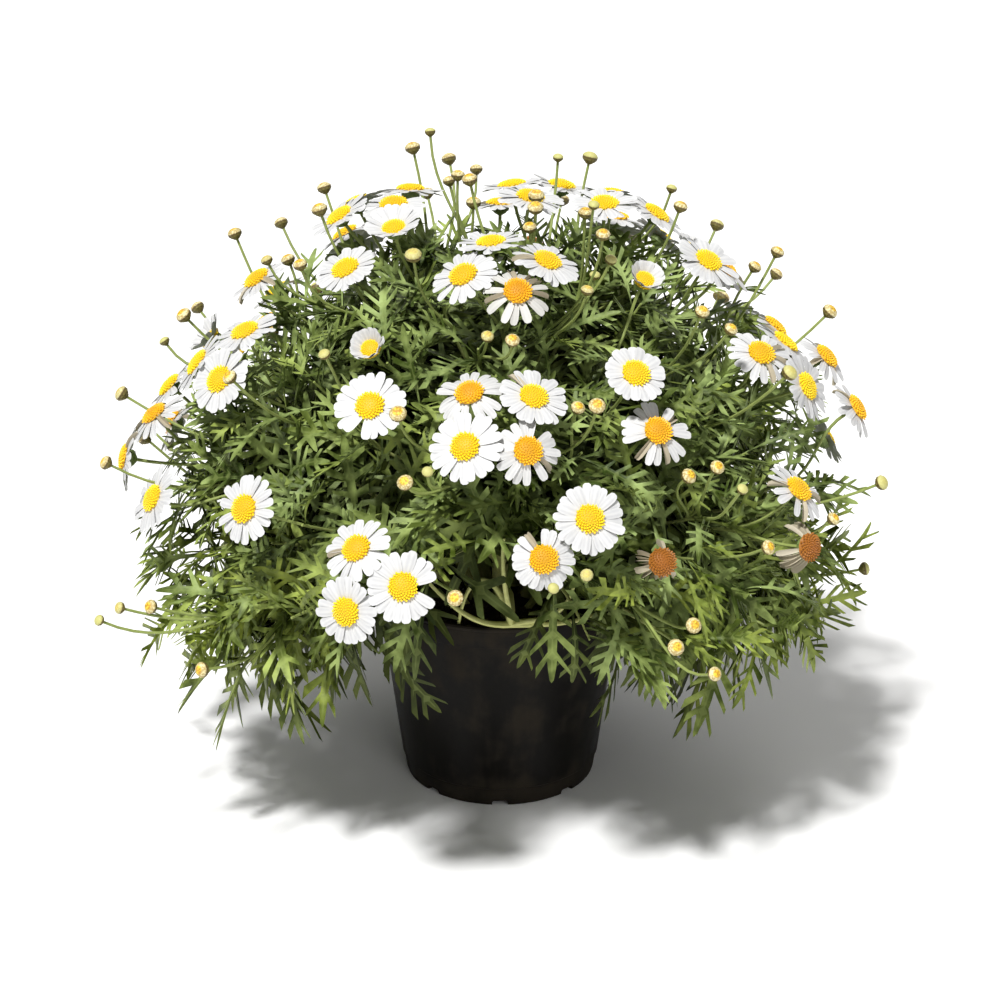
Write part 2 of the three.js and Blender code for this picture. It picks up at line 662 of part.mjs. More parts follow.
// A fused solid with the hollows that fusing sealed in it filled
function withoutHollows(solid) {
  return joined(solid.decompose().filter((part) => part.volume() > 0));
}

// The assembly
const twoDigits = (n) => String(n).padStart(2, "0");
const clusters = shoots.filter(({ blooms }) => blooms).map(clusterBlooms);
const rays = clusters.map((cluster) => joined(cluster.map(raysSolid)));
const discs = clusters.flat().map(discSolid);
const grownBranches = branches.map((_, b) => branchSolid(b));
addLoneBlooms(grownBranches, [...rays, ...discs]);

const plant = new THREE.Group();
plant.add(meshFrom(potSolid(), "pot", potPlastic));
plant.add(meshFrom(soilSolid(), "soil", pottingSoil));
grownBranches.forEach((solid, b) =>
  plant.add(meshFrom(withoutHollows(solid), `leafy_branch_${b + 1}`, foliage)),
);
rays.forEach((solid, i) => plant.add(meshFrom(solid, `rays_${twoDigits(i + 1)}`, whiteRays)));
discs.forEach((solid, i) => plant.add(meshFrom(solid, `disc_${twoDigits(i + 1)}`, yellowDisc)));

export default plant;
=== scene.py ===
"""A marguerite daisy in full bloom, in its round black nursery pot, in a plain pale studio.

The script follows the plant as it grows: pot, soil, stems, leaves, flower cups, buds, petals and discs.
"""
import math

import bpy
import numpy as np
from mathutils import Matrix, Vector


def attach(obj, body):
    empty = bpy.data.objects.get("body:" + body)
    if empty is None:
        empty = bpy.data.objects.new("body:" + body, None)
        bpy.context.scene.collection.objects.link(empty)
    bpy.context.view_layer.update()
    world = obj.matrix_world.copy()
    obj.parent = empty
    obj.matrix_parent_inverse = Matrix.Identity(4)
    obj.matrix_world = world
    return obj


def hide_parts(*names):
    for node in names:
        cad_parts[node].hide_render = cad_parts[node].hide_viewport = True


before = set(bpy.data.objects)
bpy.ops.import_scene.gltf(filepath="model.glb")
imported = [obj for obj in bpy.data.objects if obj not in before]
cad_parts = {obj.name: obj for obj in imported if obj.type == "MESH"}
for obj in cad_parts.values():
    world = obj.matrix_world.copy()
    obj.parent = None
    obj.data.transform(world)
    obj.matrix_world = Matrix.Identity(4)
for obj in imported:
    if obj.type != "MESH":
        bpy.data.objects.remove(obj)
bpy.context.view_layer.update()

# The studio: a pale floor that runs out of view, soft light from above, from before and from behind,
# and a camera that looks down a little on the front of the plant.
CAMERA_HEIGHT_ANGLE = math.radians(24)
CAMERA_DISTANCE = 2.0
CAMERA_TARGET = Vector((0.0, 0.0, 0.165))
VIEW_WIDTH = 0.56
SENSOR_WIDTH = 36.0
FLOOR_SIZE = 14.0
AIR_STRENGTH = 0.2
# Each light as (name, kind, place, size, strength)
LIGHTS = [
    ("key_light", "SUN", (-0.7, -1.15, 2.75), 7, 4.5),
    ("front_light", "AREA", (0.8, -2.2, 1.1), 1.2, 10.0),
    ("back_light", "AREA", (0.5, 1.6, 1.5), 1.2, 8.0),
]


def deselect_all():
    if bpy.context.mode != "OBJECT":
        bpy.ops.object.mode_set(mode="OBJECT")
    bpy.ops.object.select_all(action="DESELECT")


def make_camera():
    outward = Vector((0, -math.cos(CAMERA_HEIGHT_ANGLE), math.sin(CAMERA_HEIGHT_ANGLE)))
    bpy.ops.object.camera_add(location=CAMERA_TARGET + outward * CAMERA_DISTANCE)
    camera = bpy.context.object
    camera.rotation_euler = (-outward).to_track_quat("-Z", "Y").to_euler()
    camera.data.sensor_width = SENSOR_WIDTH
    camera.data.lens = SENSOR_WIDTH * CAMERA_DISTANCE / VIEW_WIDTH
    camera.data.dof.use_dof = False
    bpy.context.scene.camera = camera


def make_light(name, kind, place, size, strength):
    """A soft lamp that looks at the plant: a sun's size is an angle, a panel's is in metres."""
    bpy.ops.object.light_add(type=kind, location=place)
    light = bpy.context.object
    light.name = name
    light.rotation_euler = (CAMERA_TARGET - Vector(place)).to_track_quat("-Z", "Y").to_euler()
    if kind == "SUN":
        light.data.angle = math.radians(size)
    else:
        light.data.size = size
    light.data.energy = strength


class Value:
    """A socket of a material, whose sums and products add Math nodes."""

    def __init__(self, finish, socket):
        self.finish = finish
        self.socket = socket

    def maths(self, operation, first, second):
        return self.finish.add("ShaderNodeMath", {"operation": operation}, {0: first, 1: second})

    def __add__(self, other):
        return self.maths("ADD", self, other)

    def __sub__(self, other):
        return self.maths("SUBTRACT", self, other)

    def __mul__(self, other):
        return self.maths("MULTIPLY", self, other)

    def __rsub__(self, other):
        return self.maths("SUBTRACT", other, self)

    __radd__ = __add__
    __rmul__ = __mul__


class Finish:
    """One material: every node is added by its type, its settings, and the values of its sockets."""

    def __init__(self, name, roughness, **constants):
        self.material = bpy.data.materials.new(name)
        self.material.use_nodes = True
        self.tree = self.material.node_tree
        self.shader = self.tree.nodes["Principled BSDF"]
        self.shader.inputs["Roughness"].default_value = roughness
        for socket, value in constants.items():
            self.shader.inputs[socket.replace("_", " ")].default_value = value

    def add(self, kind, settings, sockets, output=0):
        made = self.tree.nodes.new(kind)
        for setting, value in settings.items():
            setattr(made, setting, value)
        for socket, value in sockets.items():
            self.plug(made.inputs[socket], value)
        return Value(self, made.outputs[output])

    def plug(self, socket, value):
        if isinstance(value, Value):
            self.tree.links.new(value.socket, socket)
        else:
            socket.default_value = value

    def mix(self, factor, first, second):
        """A colour between two, each given as red, green and blue or as a Value."""
        first, second = [(*c, 1.0) if isinstance(c, tuple) else c for c in (first, second)]
        return self.add("ShaderNodeMix", {"data_type": "RGBA"}, {0: factor, 6: first, 7: second}, 2)

    def ramp(self, value, low, high):
        """A smooth step from 0 to 1 while a value goes from low to high."""
        span = {"Value": value, "From Min": low, "From Max": high}
        return self.add("ShaderNodeMapRange", {"interpolation_type": "SMOOTHSTEP"}, span)

    def place(self):
        return self.add("ShaderNodeTexCoord", {}, {}, "Object")

    def height(self):
        return self.add("ShaderNodeSeparateXYZ", {}, {0: self.place()}, "Z")

    def distance_from(self, point):
        ends = {0: self.place(), 1: tuple(point)}
        return self.add("ShaderNodeVectorMath", {"operation": "DISTANCE"}, ends, "Value")

    def noise(self, scale, detail=3.0, stretch=(1.0, 1.0, 1.0)):
        """Grain in the object's own space, from 0 to 1, with scale in cells a metre."""
        place = self.add("ShaderNodeMapping", {}, {"Vector": self.place(), "Scale": stretch})
        return self.add("ShaderNodeTexNoise", {}, {"Vector": place, "Scale": scale, "Detail": detail})

    def grown(self, part):
        """One of the three marks that each point of a grown piece carries."""
        marks = self.add("ShaderNodeAttribute", {"attribute_name": "grown"}, {}, "Vector")
        return self.add("ShaderNodeSeparateXYZ", {}, {0: marks}, part)

    def colour(self, value):
        self.plug(self.shader.inputs["Base Color"], value)

    def roughness(self, value):
        self.plug(self.shader.inputs["Roughness"], value)

    def bump(self, height, distance, strength=1.0):
        sockets = {"Height": height, "Distance": distance, "Strength": strength}
        self.plug(self.shader.inputs["Normal"], self.add("ShaderNodeBump", {}, sockets, "Normal"))


def make_floor():
    bpy.ops.mesh.primitive_plane_add(size=FLOOR_SIZE)
    floor = bpy.context.object
    floor.name = "floor"
    finish = Finish("studio_floor", 0.6)
    finish.colour(finish.mix(finish.noise(3.0), (0.86, 0.85, 0.84), (0.9, 0.9, 0.895)))
    floor.data.materials.append(finish.material)


def make_studio_air():
    world = bpy.data.worlds.new("studio_air")
    world.use_nodes = True
    background = world.node_tree.nodes["Background"]
    background.inputs["Color"].default_value = (1.0, 1.0, 1.0, 1.0)
    background.inputs["Strength"].default_value = AIR_STRENGTH
    bpy.context.scene.world = world
    bpy.context.scene.view_settings.view_transform = "Standard"


deselect_all()
make_camera()
for light in LIGHTS:
    make_light(*light)
make_floor()
make_studio_air()


# The pot: thin black polypropylene, blown in one piece. A tapered wall, a rim band that stands out and
# ends in a rolled lip, a flat base with drain holes, and notches at its foot that let water run off.
POT_SEGMENTS = 96
POT_BASE = 0.054
POT_SHOULDER = 0.0704
POT_RIM = 0.0755
POT_TOP = 0.122
BAND_FOOT = 0.108
POT_WALL = 0.0012
POT_FLOOR = 0.002
DRAIN_HOLES = 8
DRAIN_HOLE_RADIUS = 0.0045
DRAIN_CIRCLE = 0.034
FOOT_NOTCHES = 8
NOTCH_SIZE = (0.012, 0.009, 0.0064)
NOTCH_ROUNDING = 0.0014
# The wall's outline as (radius, height), up the outside, over the lip and down the inside
POT_OUTLINE = [
    (POT_BASE - 0.0016, 0.0),
    (POT_BASE - 0.0004, 0.0004),
    (POT_BASE, 0.0018),
    (POT_BASE + 0.0014, 0.011),
    (POT_BASE + 0.0022, 0.0118),
    (0.0628, 0.062),
    (POT_SHOULDER - 0.0002, BAND_FOOT - 0.0022),
    (POT_SHOULDER + 0.0002, BAND_FOOT - 0.0008),
    (POT_RIM - 0.0024, BAND_FOOT),
    (POT_RIM - 0.0018, BAND_FOOT + 0.0012),
    (POT_RIM - 0.0014, POT_TOP - 0.0034),
    (POT_RIM - 0.0004, POT_TOP - 0.0026),
    (POT_RIM, POT_TOP - 0.0014),
    (POT_RIM - 0.0006, POT_TOP - 0.0003),
    (POT_RIM - 0.0018, POT_TOP),
    (POT_RIM - 0.0027, POT_TOP - 0.001),
    (POT_RIM - 0.0032, BAND_FOOT + 0.001),
    (POT_SHOULDER - POT_WALL, BAND_FOOT - 0.0028),
    (POT_BASE - POT_WALL, POT_FLOOR),
]


def select_by_place(shape, test):
    """Leaves only the vertices, edges and faces of a shape whose every corner passes a test."""
    bpy.ops.object.mode_set(mode="OBJECT")
    chosen = [test(vertex.co) for vertex in shape.data.vertices]
    for vertex, keep in zip(shape.data.vertices, chosen):
        vertex.select = keep
    for part in (*shape.data.edges, *shape.data.polygons):
        part.select = all(chosen[v] for v in part.vertices)
    bpy.ops.object.mode_set(mode="EDIT")


def settle(piece, material, angle):
    """A finished piece: its place is in its mesh, its finish is on, and it goes with the plant.

    Edges that turn by less than the angle, in degrees, look smooth."""
    deselect_all()
    piece.select_set(True)
    bpy.context.view_layer.objects.active = piece
    bpy.ops.object.transform_apply(location=True, rotation=True, scale=True)
    bpy.ops.object.shade_smooth_by_angle(angle=math.radians(angle))
    piece.data.materials.clear()
    piece.data.materials.append(material)
    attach(piece, "root")


def cut_away(piece, cutters):
    """Takes the joined cutters out of a piece."""
    deselect_all()
    for cutter in cutters:
        cutter.select_set(True)
    bpy.context.view_layer.objects.active = cutters[0]
    bpy.ops.object.join()
    cutter = bpy.context.object
    cut = piece.modifiers.new("cut", "BOOLEAN")
    cut.operation = "DIFFERENCE"
    cut.solver = "EXACT"
    cut.object = cutter
    bpy.context.view_layer.objects.active = piece
    bpy.ops.object.modifier_apply(modifier=cut.name)
    bpy.data.objects.remove(cutter)


def model_pot():
    deselect_all()
    bpy.ops.mesh.primitive_circle_add(vertices=POT_SEGMENTS, radius=POT_OUTLINE[0][0], fill_type="TRIFAN")
    pot = bpy.context.object
    pot.name = "pot_shell"
    bpy.ops.object.mode_set(mode="EDIT")
    bpy.ops.mesh.flip_normals()
    select_by_place(pot, lambda place: place.xy.length > POT_BASE / 2)
    bpy.ops.mesh.region_to_loop()
    for (radius, height), (wider, higher) in zip(POT_OUTLINE, POT_OUTLINE[1:]):
        bpy.ops.mesh.extrude_edges_move(TRANSFORM_OT_translate={"value": (0, 0, higher - height)})
        share = wider / radius
        bpy.ops.transform.resize(value=(share, share, 1), center_override=(0, 0, higher))
    bpy.ops.mesh.edge_face_add()
    bpy.ops.mesh.select_all(action="SELECT")
    bpy.ops.mesh.normals_make_consistent(inside=False)
    bpy.ops.object.mode_set(mode="OBJECT")
    return pot


def pot_cutters():
    deselect_all()
    cutters = []
    for k in range(DRAIN_HOLES):
        turn = 2 * math.pi * (k + 0.5) / DRAIN_HOLES
        place = (DRAIN_CIRCLE * math.cos(turn), DRAIN_CIRCLE * math.sin(turn), 0)
        bpy.ops.mesh.primitive_cylinder_add(
            vertices=16, radius=DRAIN_HOLE_RADIUS, depth=4 * POT_FLOOR, location=place
        )
        cutters.append(bpy.context.object)
    for k in range(FOOT_NOTCHES):
        turn = 2 * math.pi * k / FOOT_NOTCHES
        place = (POT_BASE * math.cos(turn), POT_BASE * math.sin(turn), 0)
        bpy.ops.mesh.primitive_cube_add(size=1, location=place, rotation=(0, 0, turn), scale=NOTCH_SIZE)
        bpy.ops.object.mode_set(mode="EDIT")
        bpy.ops.mesh.bevel(offset=NOTCH_ROUNDING, segments=3, affect="EDGES")
        bpy.ops.object.mode_set(mode="OBJECT")
        cutters.append(bpy.context.object)
    return cutters


def pot_finish():
    finish = Finish("black_pot_plastic", 0.42, Specular_IOR_Level=0.09)
    dust = finish.noise(55.0, 5.0)
    streaks = finish.noise(90.0, stretch=(1.0, 1.0, 0.12))
    low = 1 - finish.ramp(finish.height(), 0.0, 0.03)
    under_rim = finish.ramp(finish.height(), 0.075, POT_TOP)
    # Lighter brown patches, most of them near the foot and towards the lip: partly dust and partly a
    # painted sheen on the black wall.
    dust_and_sheen = finish.ramp(dust * 0.6 + streaks * 0.4 + low * 0.14 + under_rim * 0.08, 0.46, 0.7)
    plastic = finish.mix(streaks, (0.0022, 0.0018, 0.0013), (0.0048, 0.004, 0.003))
    finish.colour(finish.mix(dust_and_sheen * 0.4, plastic, (0.044, 0.035, 0.024)))
    finish.roughness(dust_and_sheen * 0.3 + streaks * 0.12 + 0.34)
    finish.bump(streaks * 0.6 + finish.noise(900.0, 2.0) * 0.25, 0.00025, 0.6)
    return finish.material


pot = model_pot()
cut_away(pot, pot_cutters())
settle(pot, pot_finish(), 35)
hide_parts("pot")


# The soil: moist, dark peat compost that fills the pot to just under its rim band, heaped a little
# towards the stems, with loose crumbs and a few white grains of perlite on top.
SOIL_FOOT = POT_BASE - 0.002
SOIL_BOTTOM = POT_FLOOR + 0.0004
SOIL_EDGE = 0.0675
SOIL_TOP = 0.103
SOIL_CROWN = 0.005
SOIL_SEGMENTS = 72
SOIL_RINGS = 22
CRUMBS = 420
CRUMB_DRAWS = 9000
CRUMB_SIZE = 0.0006
CRUMB_SIZE_SPREAD = 0.0017
PERLITE_SHARE = 0.09
SEED = 11


def draw(n):
    """A seeded draw from 0 to 1: the same number n always gives the same value.

    Each kind of thing draws from its own run of numbers, as the crumbs do from CRUMB_DRAWS on."""
    x = math.sin((n + SEED) * 12.9898) * 43758.5453
    return x - math.floor(x)


def spread(n, width):
    """A seeded draw from half a width below zero to half a width above it."""
    return (draw(n) - 0.5) * width


def soil_level(x, y):
    """The height of the soil's lumpy surface."""
    from_centre = math.hypot(x, y) / POT_SHOULDER
    crumbs = math.sin(310 * x + 1.3) * math.cos(270 * y - 0.4) + 0.6 * math.sin(110 * x - 190 * y)
    lumps = math.sin(910 * x + 3 * math.sin(530 * y)) * math.cos(840 * y + 2 * math.sin(610 * x))
    fall = SOIL_CROWN * (1 - from_centre * from_centre)
    return SOIL_TOP + fall + 0.0011 * crumbs + 0.0007 * lumps


def model_soil():
    deselect_all()
    bpy.ops.mesh.primitive_circle_add(vertices=SOIL_SEGMENTS, radius=SOIL_FOOT, fill_type="TRIFAN")
    soil = bpy.context.object
    soil.name = "soil_bed"
    bpy.ops.object.mode_set(mode="EDIT")
    bpy.ops.mesh.flip_normals()
    bpy.ops.mesh.region_to_loop()
    depth = SOIL_TOP - 0.002 - POT_FLOOR
    bpy.ops.transform.translate(value=(0, 0, SOIL_BOTTOM))
    bpy.ops.mesh.extrude_edges_move(TRANSFORM_OT_translate={"value": (0, 0, depth)})
    share = SOIL_EDGE / SOIL_FOOT
    bpy.ops.transform.resize(value=(share, share, 1), center_override=(0, 0, depth))
    for ring in range(SOIL_RINGS, 1, -1):
        bpy.ops.mesh.extrude_edges_move()
        share = (ring - 1) / ring
        bpy.ops.transform.resize(value=(share, share, 1), center_override=(0, 0, depth))
    bpy.ops.mesh.merge(type="CENTER")
    bpy.ops.object.mode_set(mode="OBJECT")
    for vertex in soil.data.vertices:
        if vertex.co.z > SOIL_TOP / 2:
            vertex.co.z = soil_level(vertex.co.x, vertex.co.y)
        elif vertex.co.xy.length < 0.001:
            vertex.co.z = SOIL_BOTTOM
    return soil


class Growth:
    """Copies of modelled shapes that grow into one mesh, each point with three marks."""

    def __init__(self):
        self.points = []
        self.marks = []
        self.corners = []
        self.count = 0

    def add(self, shape, points, first, second, third):
        """Each mark is one number for the whole copy or one for each of its points."""
        marks = np.empty((len(points), 3))
        marks[:, 0], marks[:, 1], marks[:, 2] = first, second, third
        self.points.append(points)
        self.marks.append(marks)
        self.corners.append(shape["corners"] + self.count)
        self.count += len(points)

    def piece(self, name):
        corners = np.concatenate(self.corners).astype(np.int32)
        mesh = bpy.data.meshes.new(name)
        mesh.vertices.add(self.count)
        mesh.vertices.foreach_set("co", np.concatenate(self.points).astype(np.float32).ravel())
        mesh.loops.add(corners.size)
        mesh.loops.foreach_set("vertex_index", corners.ravel())
        mesh.polygons.add(len(corners))
        mesh.polygons.foreach_set("loop_start", np.arange(0, corners.size, 3, dtype=np.int32))
        mesh.update(calc_edges=True)
        grown = mesh.attributes.new("grown", "FLOAT_VECTOR", "POINT")
        grown.data.foreach_set("vector", np.concatenate(self.marks).astype(np.float32).ravel())
        piece = bpy.data.objects.new(name, mesh)
        bpy.context.scene.collection.objects.link(piece)
        return piece


def shape_of(model):
    """The triangles of a modelled shape, which then leaves the scene."""
    deselect_all()
    model.select_set(True)
    bpy.context.view_layer.objects.active = model
    bpy.ops.object.mode_set(mode="EDIT")
    bpy.ops.mesh.select_all(action="SELECT")
    bpy.ops.mesh.quads_convert_to_tris(quad_method="BEAUTY", ngon_method="BEAUTY")
    bpy.ops.object.mode_set(mode="OBJECT")
    points = np.array([vertex.co for vertex in model.data.vertices])
    corners = np.array([tuple(face.vertices) for face in model.data.polygons])
    bpy.data.objects.remove(model)
    return {"points": points, "corners": corners}


def model_crumb():
    deselect_all()
    bpy.ops.mesh.primitive_ico_sphere_add(subdivisions=1, radius=1)
    crumb = bpy.context.object
    bpy.ops.object.mode_set(mode="EDIT")
    bpy.ops.transform.vertex_random(offset=0.3, seed=SEED)
    return shape_of(crumb)


def strew_crumbs():
    crumb = model_crumb()
    growth = Growth()
    for k in range(CRUMBS):
        n = CRUMB_DRAWS + 6 * k
        reach = SOIL_EDGE * 0.96 * math.sqrt(draw(n))
        turn = 2 * math.pi * draw(n + 1)
        x, y = reach * math.cos(turn), reach * math.sin(turn)
        tone = 1 if draw(n + 2) < PERLITE_SHARE else 0.4 * draw(n + 5)
        size = CRUMB_SIZE + CRUMB_SIZE_SPREAD * draw(n + 3) ** 2
        place = np.array([x, y, soil_level(x, y) + 0.3 * size])
        spin = 2 * math.pi * draw(n + 4)
        cos, sin = math.cos(spin), math.sin(spin)
        turned = np.array([[cos, -sin, 0], [sin, cos, 0], [0, 0, 0.7]])
        growth.add(crumb, place + size * crumb["points"] @ turned.T, 0, 0, tone)
    return growth.piece("soil_crumbs")


def soil_finish():
    finish = Finish("peat_compost", 0.93)
    grain = finish.noise(420.0, 6.0)
    damp = finish.noise(60.0)
    earth = finish.mix(grain, (0.012, 0.0075, 0.005), (0.065, 0.04, 0.026))
    finish.colour(finish.mix(damp * 0.5, earth, (0.02, 0.012, 0.008)))
    finish.bump(grain, 0.0012)
    return finish.material


def crumb_finish():
    finish = Finish("compost_crumbs", 0.9)
    tone = finish.grown("Z")
    earth = finish.mix(tone * 2, (0.018, 0.011, 0.007), (0.085, 0.055, 0.036))
    finish.colour(finish.mix(finish.ramp(tone, 0.6, 0.9), earth, (0.72, 0.7, 0.64)))
    finish.bump(finish.noise(1500.0), 0.0003)
    return finish.material


soil = model_soil()
settle(soil, soil_finish(), 180)
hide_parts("soil")
settle(strew_crumbs(), crumb_finish(), 20)


# The stems: five woody feet stand in the soil and fork above the pot's rim into shoots, which carry
# green twigs. Shoots rise in the middle and lean out all round. Low stems, the runners, leave the soil
# between them, bend over the pot's rim and fork.
CROWN = Vector((0, 0, 0.128))
UP = Vector((0, 0, 1))
BRANCHES = 5
FRONT = -90
FOOT_CIRCLE = 0.015
FOOT_DEPTH = 0.03
FOOT_RADIUS = 0.0041
FORK_CIRCLE = 0.022
FORK_HEIGHT = 0.132
SHOOT_RADII = (0.003, 0.0005)
TWIG_RADII = (0.0016, 0.0007)
RUNNER_RADII = (0.0024, 0.0004)
FORK_RADII = (0.0015, 0.0004)
TWIGS = 196
TWIG_DRAWS = 20000
TWIG_LEAN = 118
TWIG_REACH = 0.176
TWIG_OVER_HEM = 0.012
RUNNERS = 11
RUNNER_DRAWS = 26000
FORKS_ON_RUNNER = 3
FORK_DRAWS = 27000
# The foliage's hem beside the pot and before it, as (height, slope outwards, where it is that high)
HEM_BESIDE = (0.045, 0.5, 0.11)
HEM_BEFORE = (0.128, 0.45, POT_RIM)
# The bare stems at the front: a trunk leans over the rim, ends in a knot and parts into slimmer stems,
# each as its way from the knot out, its way in and its end. Leaves leave a window before them.
TRUNK_START = Vector((0.003, -0.026, SOIL_TOP))
TRUNK_WAY_OUT = Vector((0.004, -0.048, 0.142))
TRUNK_WAY_IN = Vector((-0.001, 0.016, 0.012))
KNOT = Vector((0.006, -0.083, 0.128))
TRUNK_RADII = (0.003, 0.0026)
BARE_STEMS = [
    ((-0.006, -0.006, 0.036), (-0.026, -0.008, 0.046), (-0.03, 0.022, -0.022)),
    ((-0.02, -0.004, 0.0), (-0.032, -0.006, 0.012), (-0.05, -0.004, 0.034)),
    ((-0.002, -0.006, 0.02), (-0.006, -0.022, 0.04), (-0.004, -0.04, 0.07)),
    ((0.01, -0.004, 0.006), (0.03, -0.008, 0.002), (0.034, -0.02, 0.036)),
    ((0.02, -0.004, 0.002), (0.042, -0.006, 0.002), (0.062, -0.01, 0.02)),
]
BARE_RADII = (0.0019, 0.0009)
WINDOW_CENTRE = (-0.002, 0.102)
WINDOW_HALF = (0.036, 0.018)
WINDOW_DEPTH = -0.085
WINDOW_SHARE = 0.85
GOLDEN_ANGLE = math.pi * (3 - math.sqrt(5))
# The kinds of shoot, as in the solids: lean and tip_lean are degrees from upright
SHOOT_KINDS = {
    "top": {"lean": 20, "tip_lean": 16, "reach": 0.168, "rise": 0.052},
    "shoulder": {"lean": 47, "tip_lean": 50, "reach": 0.165, "rise": 0.044},
    "side": {"lean": 67, "tip_lean": 76, "reach": 0.164, "rise": 0.03},
    "rim": {"lean": 84, "tip_lean": 112, "reach": 0.156, "rise": 0.038},
    "skirt": {"lean": 92, "tip_lean": 128, "reach": 0.156, "rise": 0.04},
}
# Each shoot's kind, branch, azimuth from the branch's own, and its blooms and buds
SHOOTS = [
    ("side", 0, -18, 3, 1),
    ("side", 1, -18, 2, 2),
    ("side", 2, -18, 3, 1),
    ("side", 3, -18, 2, 2),
    ("side", 4, -18, 2, 2),
    ("rim", 0, 18, 0, 0),
    ("skirt", 1, 18, 0, 1),
    ("skirt", 2, 18, 0, 1),
    ("skirt", 3, 18, 0, 1),
    ("skirt", 4, 18, 0, 1),
    ("shoulder", 0, 2, 4, 2),
    ("shoulder", 1, -3, 3, 2),
    ("shoulder", 2, 4, 3, 2),
    ("shoulder", 3, -4, 3, 2),
    ("shoulder", 4, 3, 3, 2),
    ("top", 0, 0, 4, 2),
    ("top", 2, -24, 3, 2),
    ("top", 3, 24, 4, 2),
]


def heading(lean, azimuth):
    """A unit vector that leans from upright towards an azimuth, both in degrees."""
    flat = math.sin(math.radians(lean))
    turn = math.radians(azimuth)
    return Vector((flat * math.cos(turn), flat * math.sin(turn), math.cos(math.radians(lean))))


class Bend:
    """A smooth run between two points that leaves and arrives in given directions."""

    def __init__(self, start, leave, arrive, end):
        self.knots = (start, leave, arrive, end)

    def at(self, t):
        a, b, c, d = self.knots
        u = 1 - t
        return a * u**3 + b * 3 * u * u * t + c * 3 * u * t * t + d * t**3

    def along(self, t):
        a, b, c, d = self.knots
        u = 1 - t
        return ((b - a) * u * u + (c - b) * 2 * u * t + (d - c) * t * t).normalized()

    def points(self, steps):
        return [self.at(i / steps) for i in range(steps + 1)]


def branch_of(b):
    """A branch's azimuth in degrees, its foot in the soil, and the place where it forks."""
    azimuth = FRONT + 360 * b / BRANCHES
    out = heading(90, azimuth)
    foot = out * FOOT_CIRCLE + UP * (SOIL_TOP + SOIL_CROWN - FOOT_DEPTH)
    return {"azimuth": azimuth, "foot": foot, "fork": out * FORK_CIRCLE + UP * FORK_HEIGHT}


def shoot_of(i):
    """A shoot from its branch's fork to the dome, whose tip points along its tangent."""
    kind_name, b, aside, blooms, buds = SHOOTS[i]
    kind = SHOOT_KINDS[kind_name]
    branch = branches[b]
    azimuth = branch["azimuth"] + aside + spread(i * 7 + 1, 5)
    outward = heading(kind["lean"] + spread(i * 7 + 2, 5), azimuth)
    tip = CROWN + outward * (kind["reach"] + spread(i * 7 + 3, 0.008))
    tangent = heading(kind["tip_lean"], azimuth)
    leave = branch["fork"] + UP * kind["rise"] + heading(90, azimuth) * (0.3 * kind["rise"])
    return {
        "branch": b,
        "number": i,
        "blooms": blooms,
        "buds": buds,
        "lean": kind["lean"],
        "outward": outward,
        "across": heading(90, azimuth + 90),
        "tangent": tangent,
        "run": Bend(branch["fork"], leave, tip - tangent * (0.36 * kind["reach"]), tip),
    }


branches = [branch_of(b) for b in range(BRANCHES)]
shoots = [shoot_of(i) for i in range(len(SHOOTS))]


def hem(x, y):
    """The height to which the foliage hangs. At the front it lifts off the pot, at the sides it falls."""
    out = math.hypot(x, y)
    turn = math.atan2(y, x)
    front = max(0.0, math.cos(turn - math.radians(FRONT))) ** 3
    wave = 0.008 * math.sin(3 * turn + 1) + 0.006 * math.sin(7 * turn)
    height, rise, start = HEM_BESIDE
    beside = height + rise * max(0.0, out - start)
    height, rise, start = HEM_BEFORE
    before = height + rise * (out - start)
    return beside + (before - beside) * front + wave


def twig_of(i):
    """A twig from the nearest shoot to its own place on the dome, all of them evenly spread."""
    n = TWIG_DRAWS + 8 * i
    level = 1 - (1 - math.cos(math.radians(TWIG_LEAN))) * (i + 0.5) / TWIGS
    lean = math.degrees(math.acos(level))
    azimuth = math.degrees(i * GOLDEN_ANGLE) + spread(n, 10)
    outward = heading(lean, azimuth)
    shoot = max(shoots, key=lambda s: s["outward"].dot(outward))
    from_axis = shoot["outward"].angle(outward)
    start_share = max(0.28, 0.62 - 0.45 * from_axis + spread(n + 1, 0.12))
    start = shoot["run"].at(start_share)
    lowered = max(0, (lean - 75) / (TWIG_LEAN - 75))
    tip = CROWN + outward * (TWIG_REACH - 0.01 * lowered + spread(n + 2, 0.02))
    tip_lean = min(165, lean * 0.9 + 6 + max(0, lean - 70) * 0.8)
    arrive = heading(tip_lean, azimuth + spread(n + 3, 16))
    span = (tip - start).length
    leave = (shoot["run"].along(start_share) + (tip - start).normalized() * 0.7).normalized()
    run = Bend(start, start + leave * (0.4 * span), tip - arrive * (0.36 * span), tip)
    return {"branch": shoot["branch"], "number": i, "lean": lean, "outward": outward, "run": run}


def runner_of(i):
    """A low stem that leaves the soil, rises over the pot's rim and bends out and down beyond it."""
    n = RUNNER_DRAWS + 8 * i
    azimuth = FRONT - 24 + 360 * i / RUNNERS + spread(n, 18)
    out = heading(90, azimuth)
    aside = heading(90, azimuth + 90)
    start = out * 0.024 + UP * (SOIL_TOP + 0.004)
    leave = out * 0.05 + UP * (0.156 + spread(n + 1, 0.012)) + aside * spread(n + 2, 0.03)
    arrive = out * (0.096 + spread(n + 3, 0.012)) + UP * (0.15 + spread(n + 4, 0.01))
    arrive += aside * spread(n + 5, 0.05)
    end = out * (0.118 + spread(n + 6, 0.02)) + UP * (0.124 + spread(n + 7, 0.02))
    end += aside * spread(n + 5, 0.1)
    run = Bend(start, leave, arrive, end)
    branch = min(range(BRANCHES), key=lambda b: (branches[b]["fork"] - start).length)
    outward = (end - CROWN).normalized()
    return {"branch": branch, "number": i, "lean": 92, "outward": outward, "run": run}


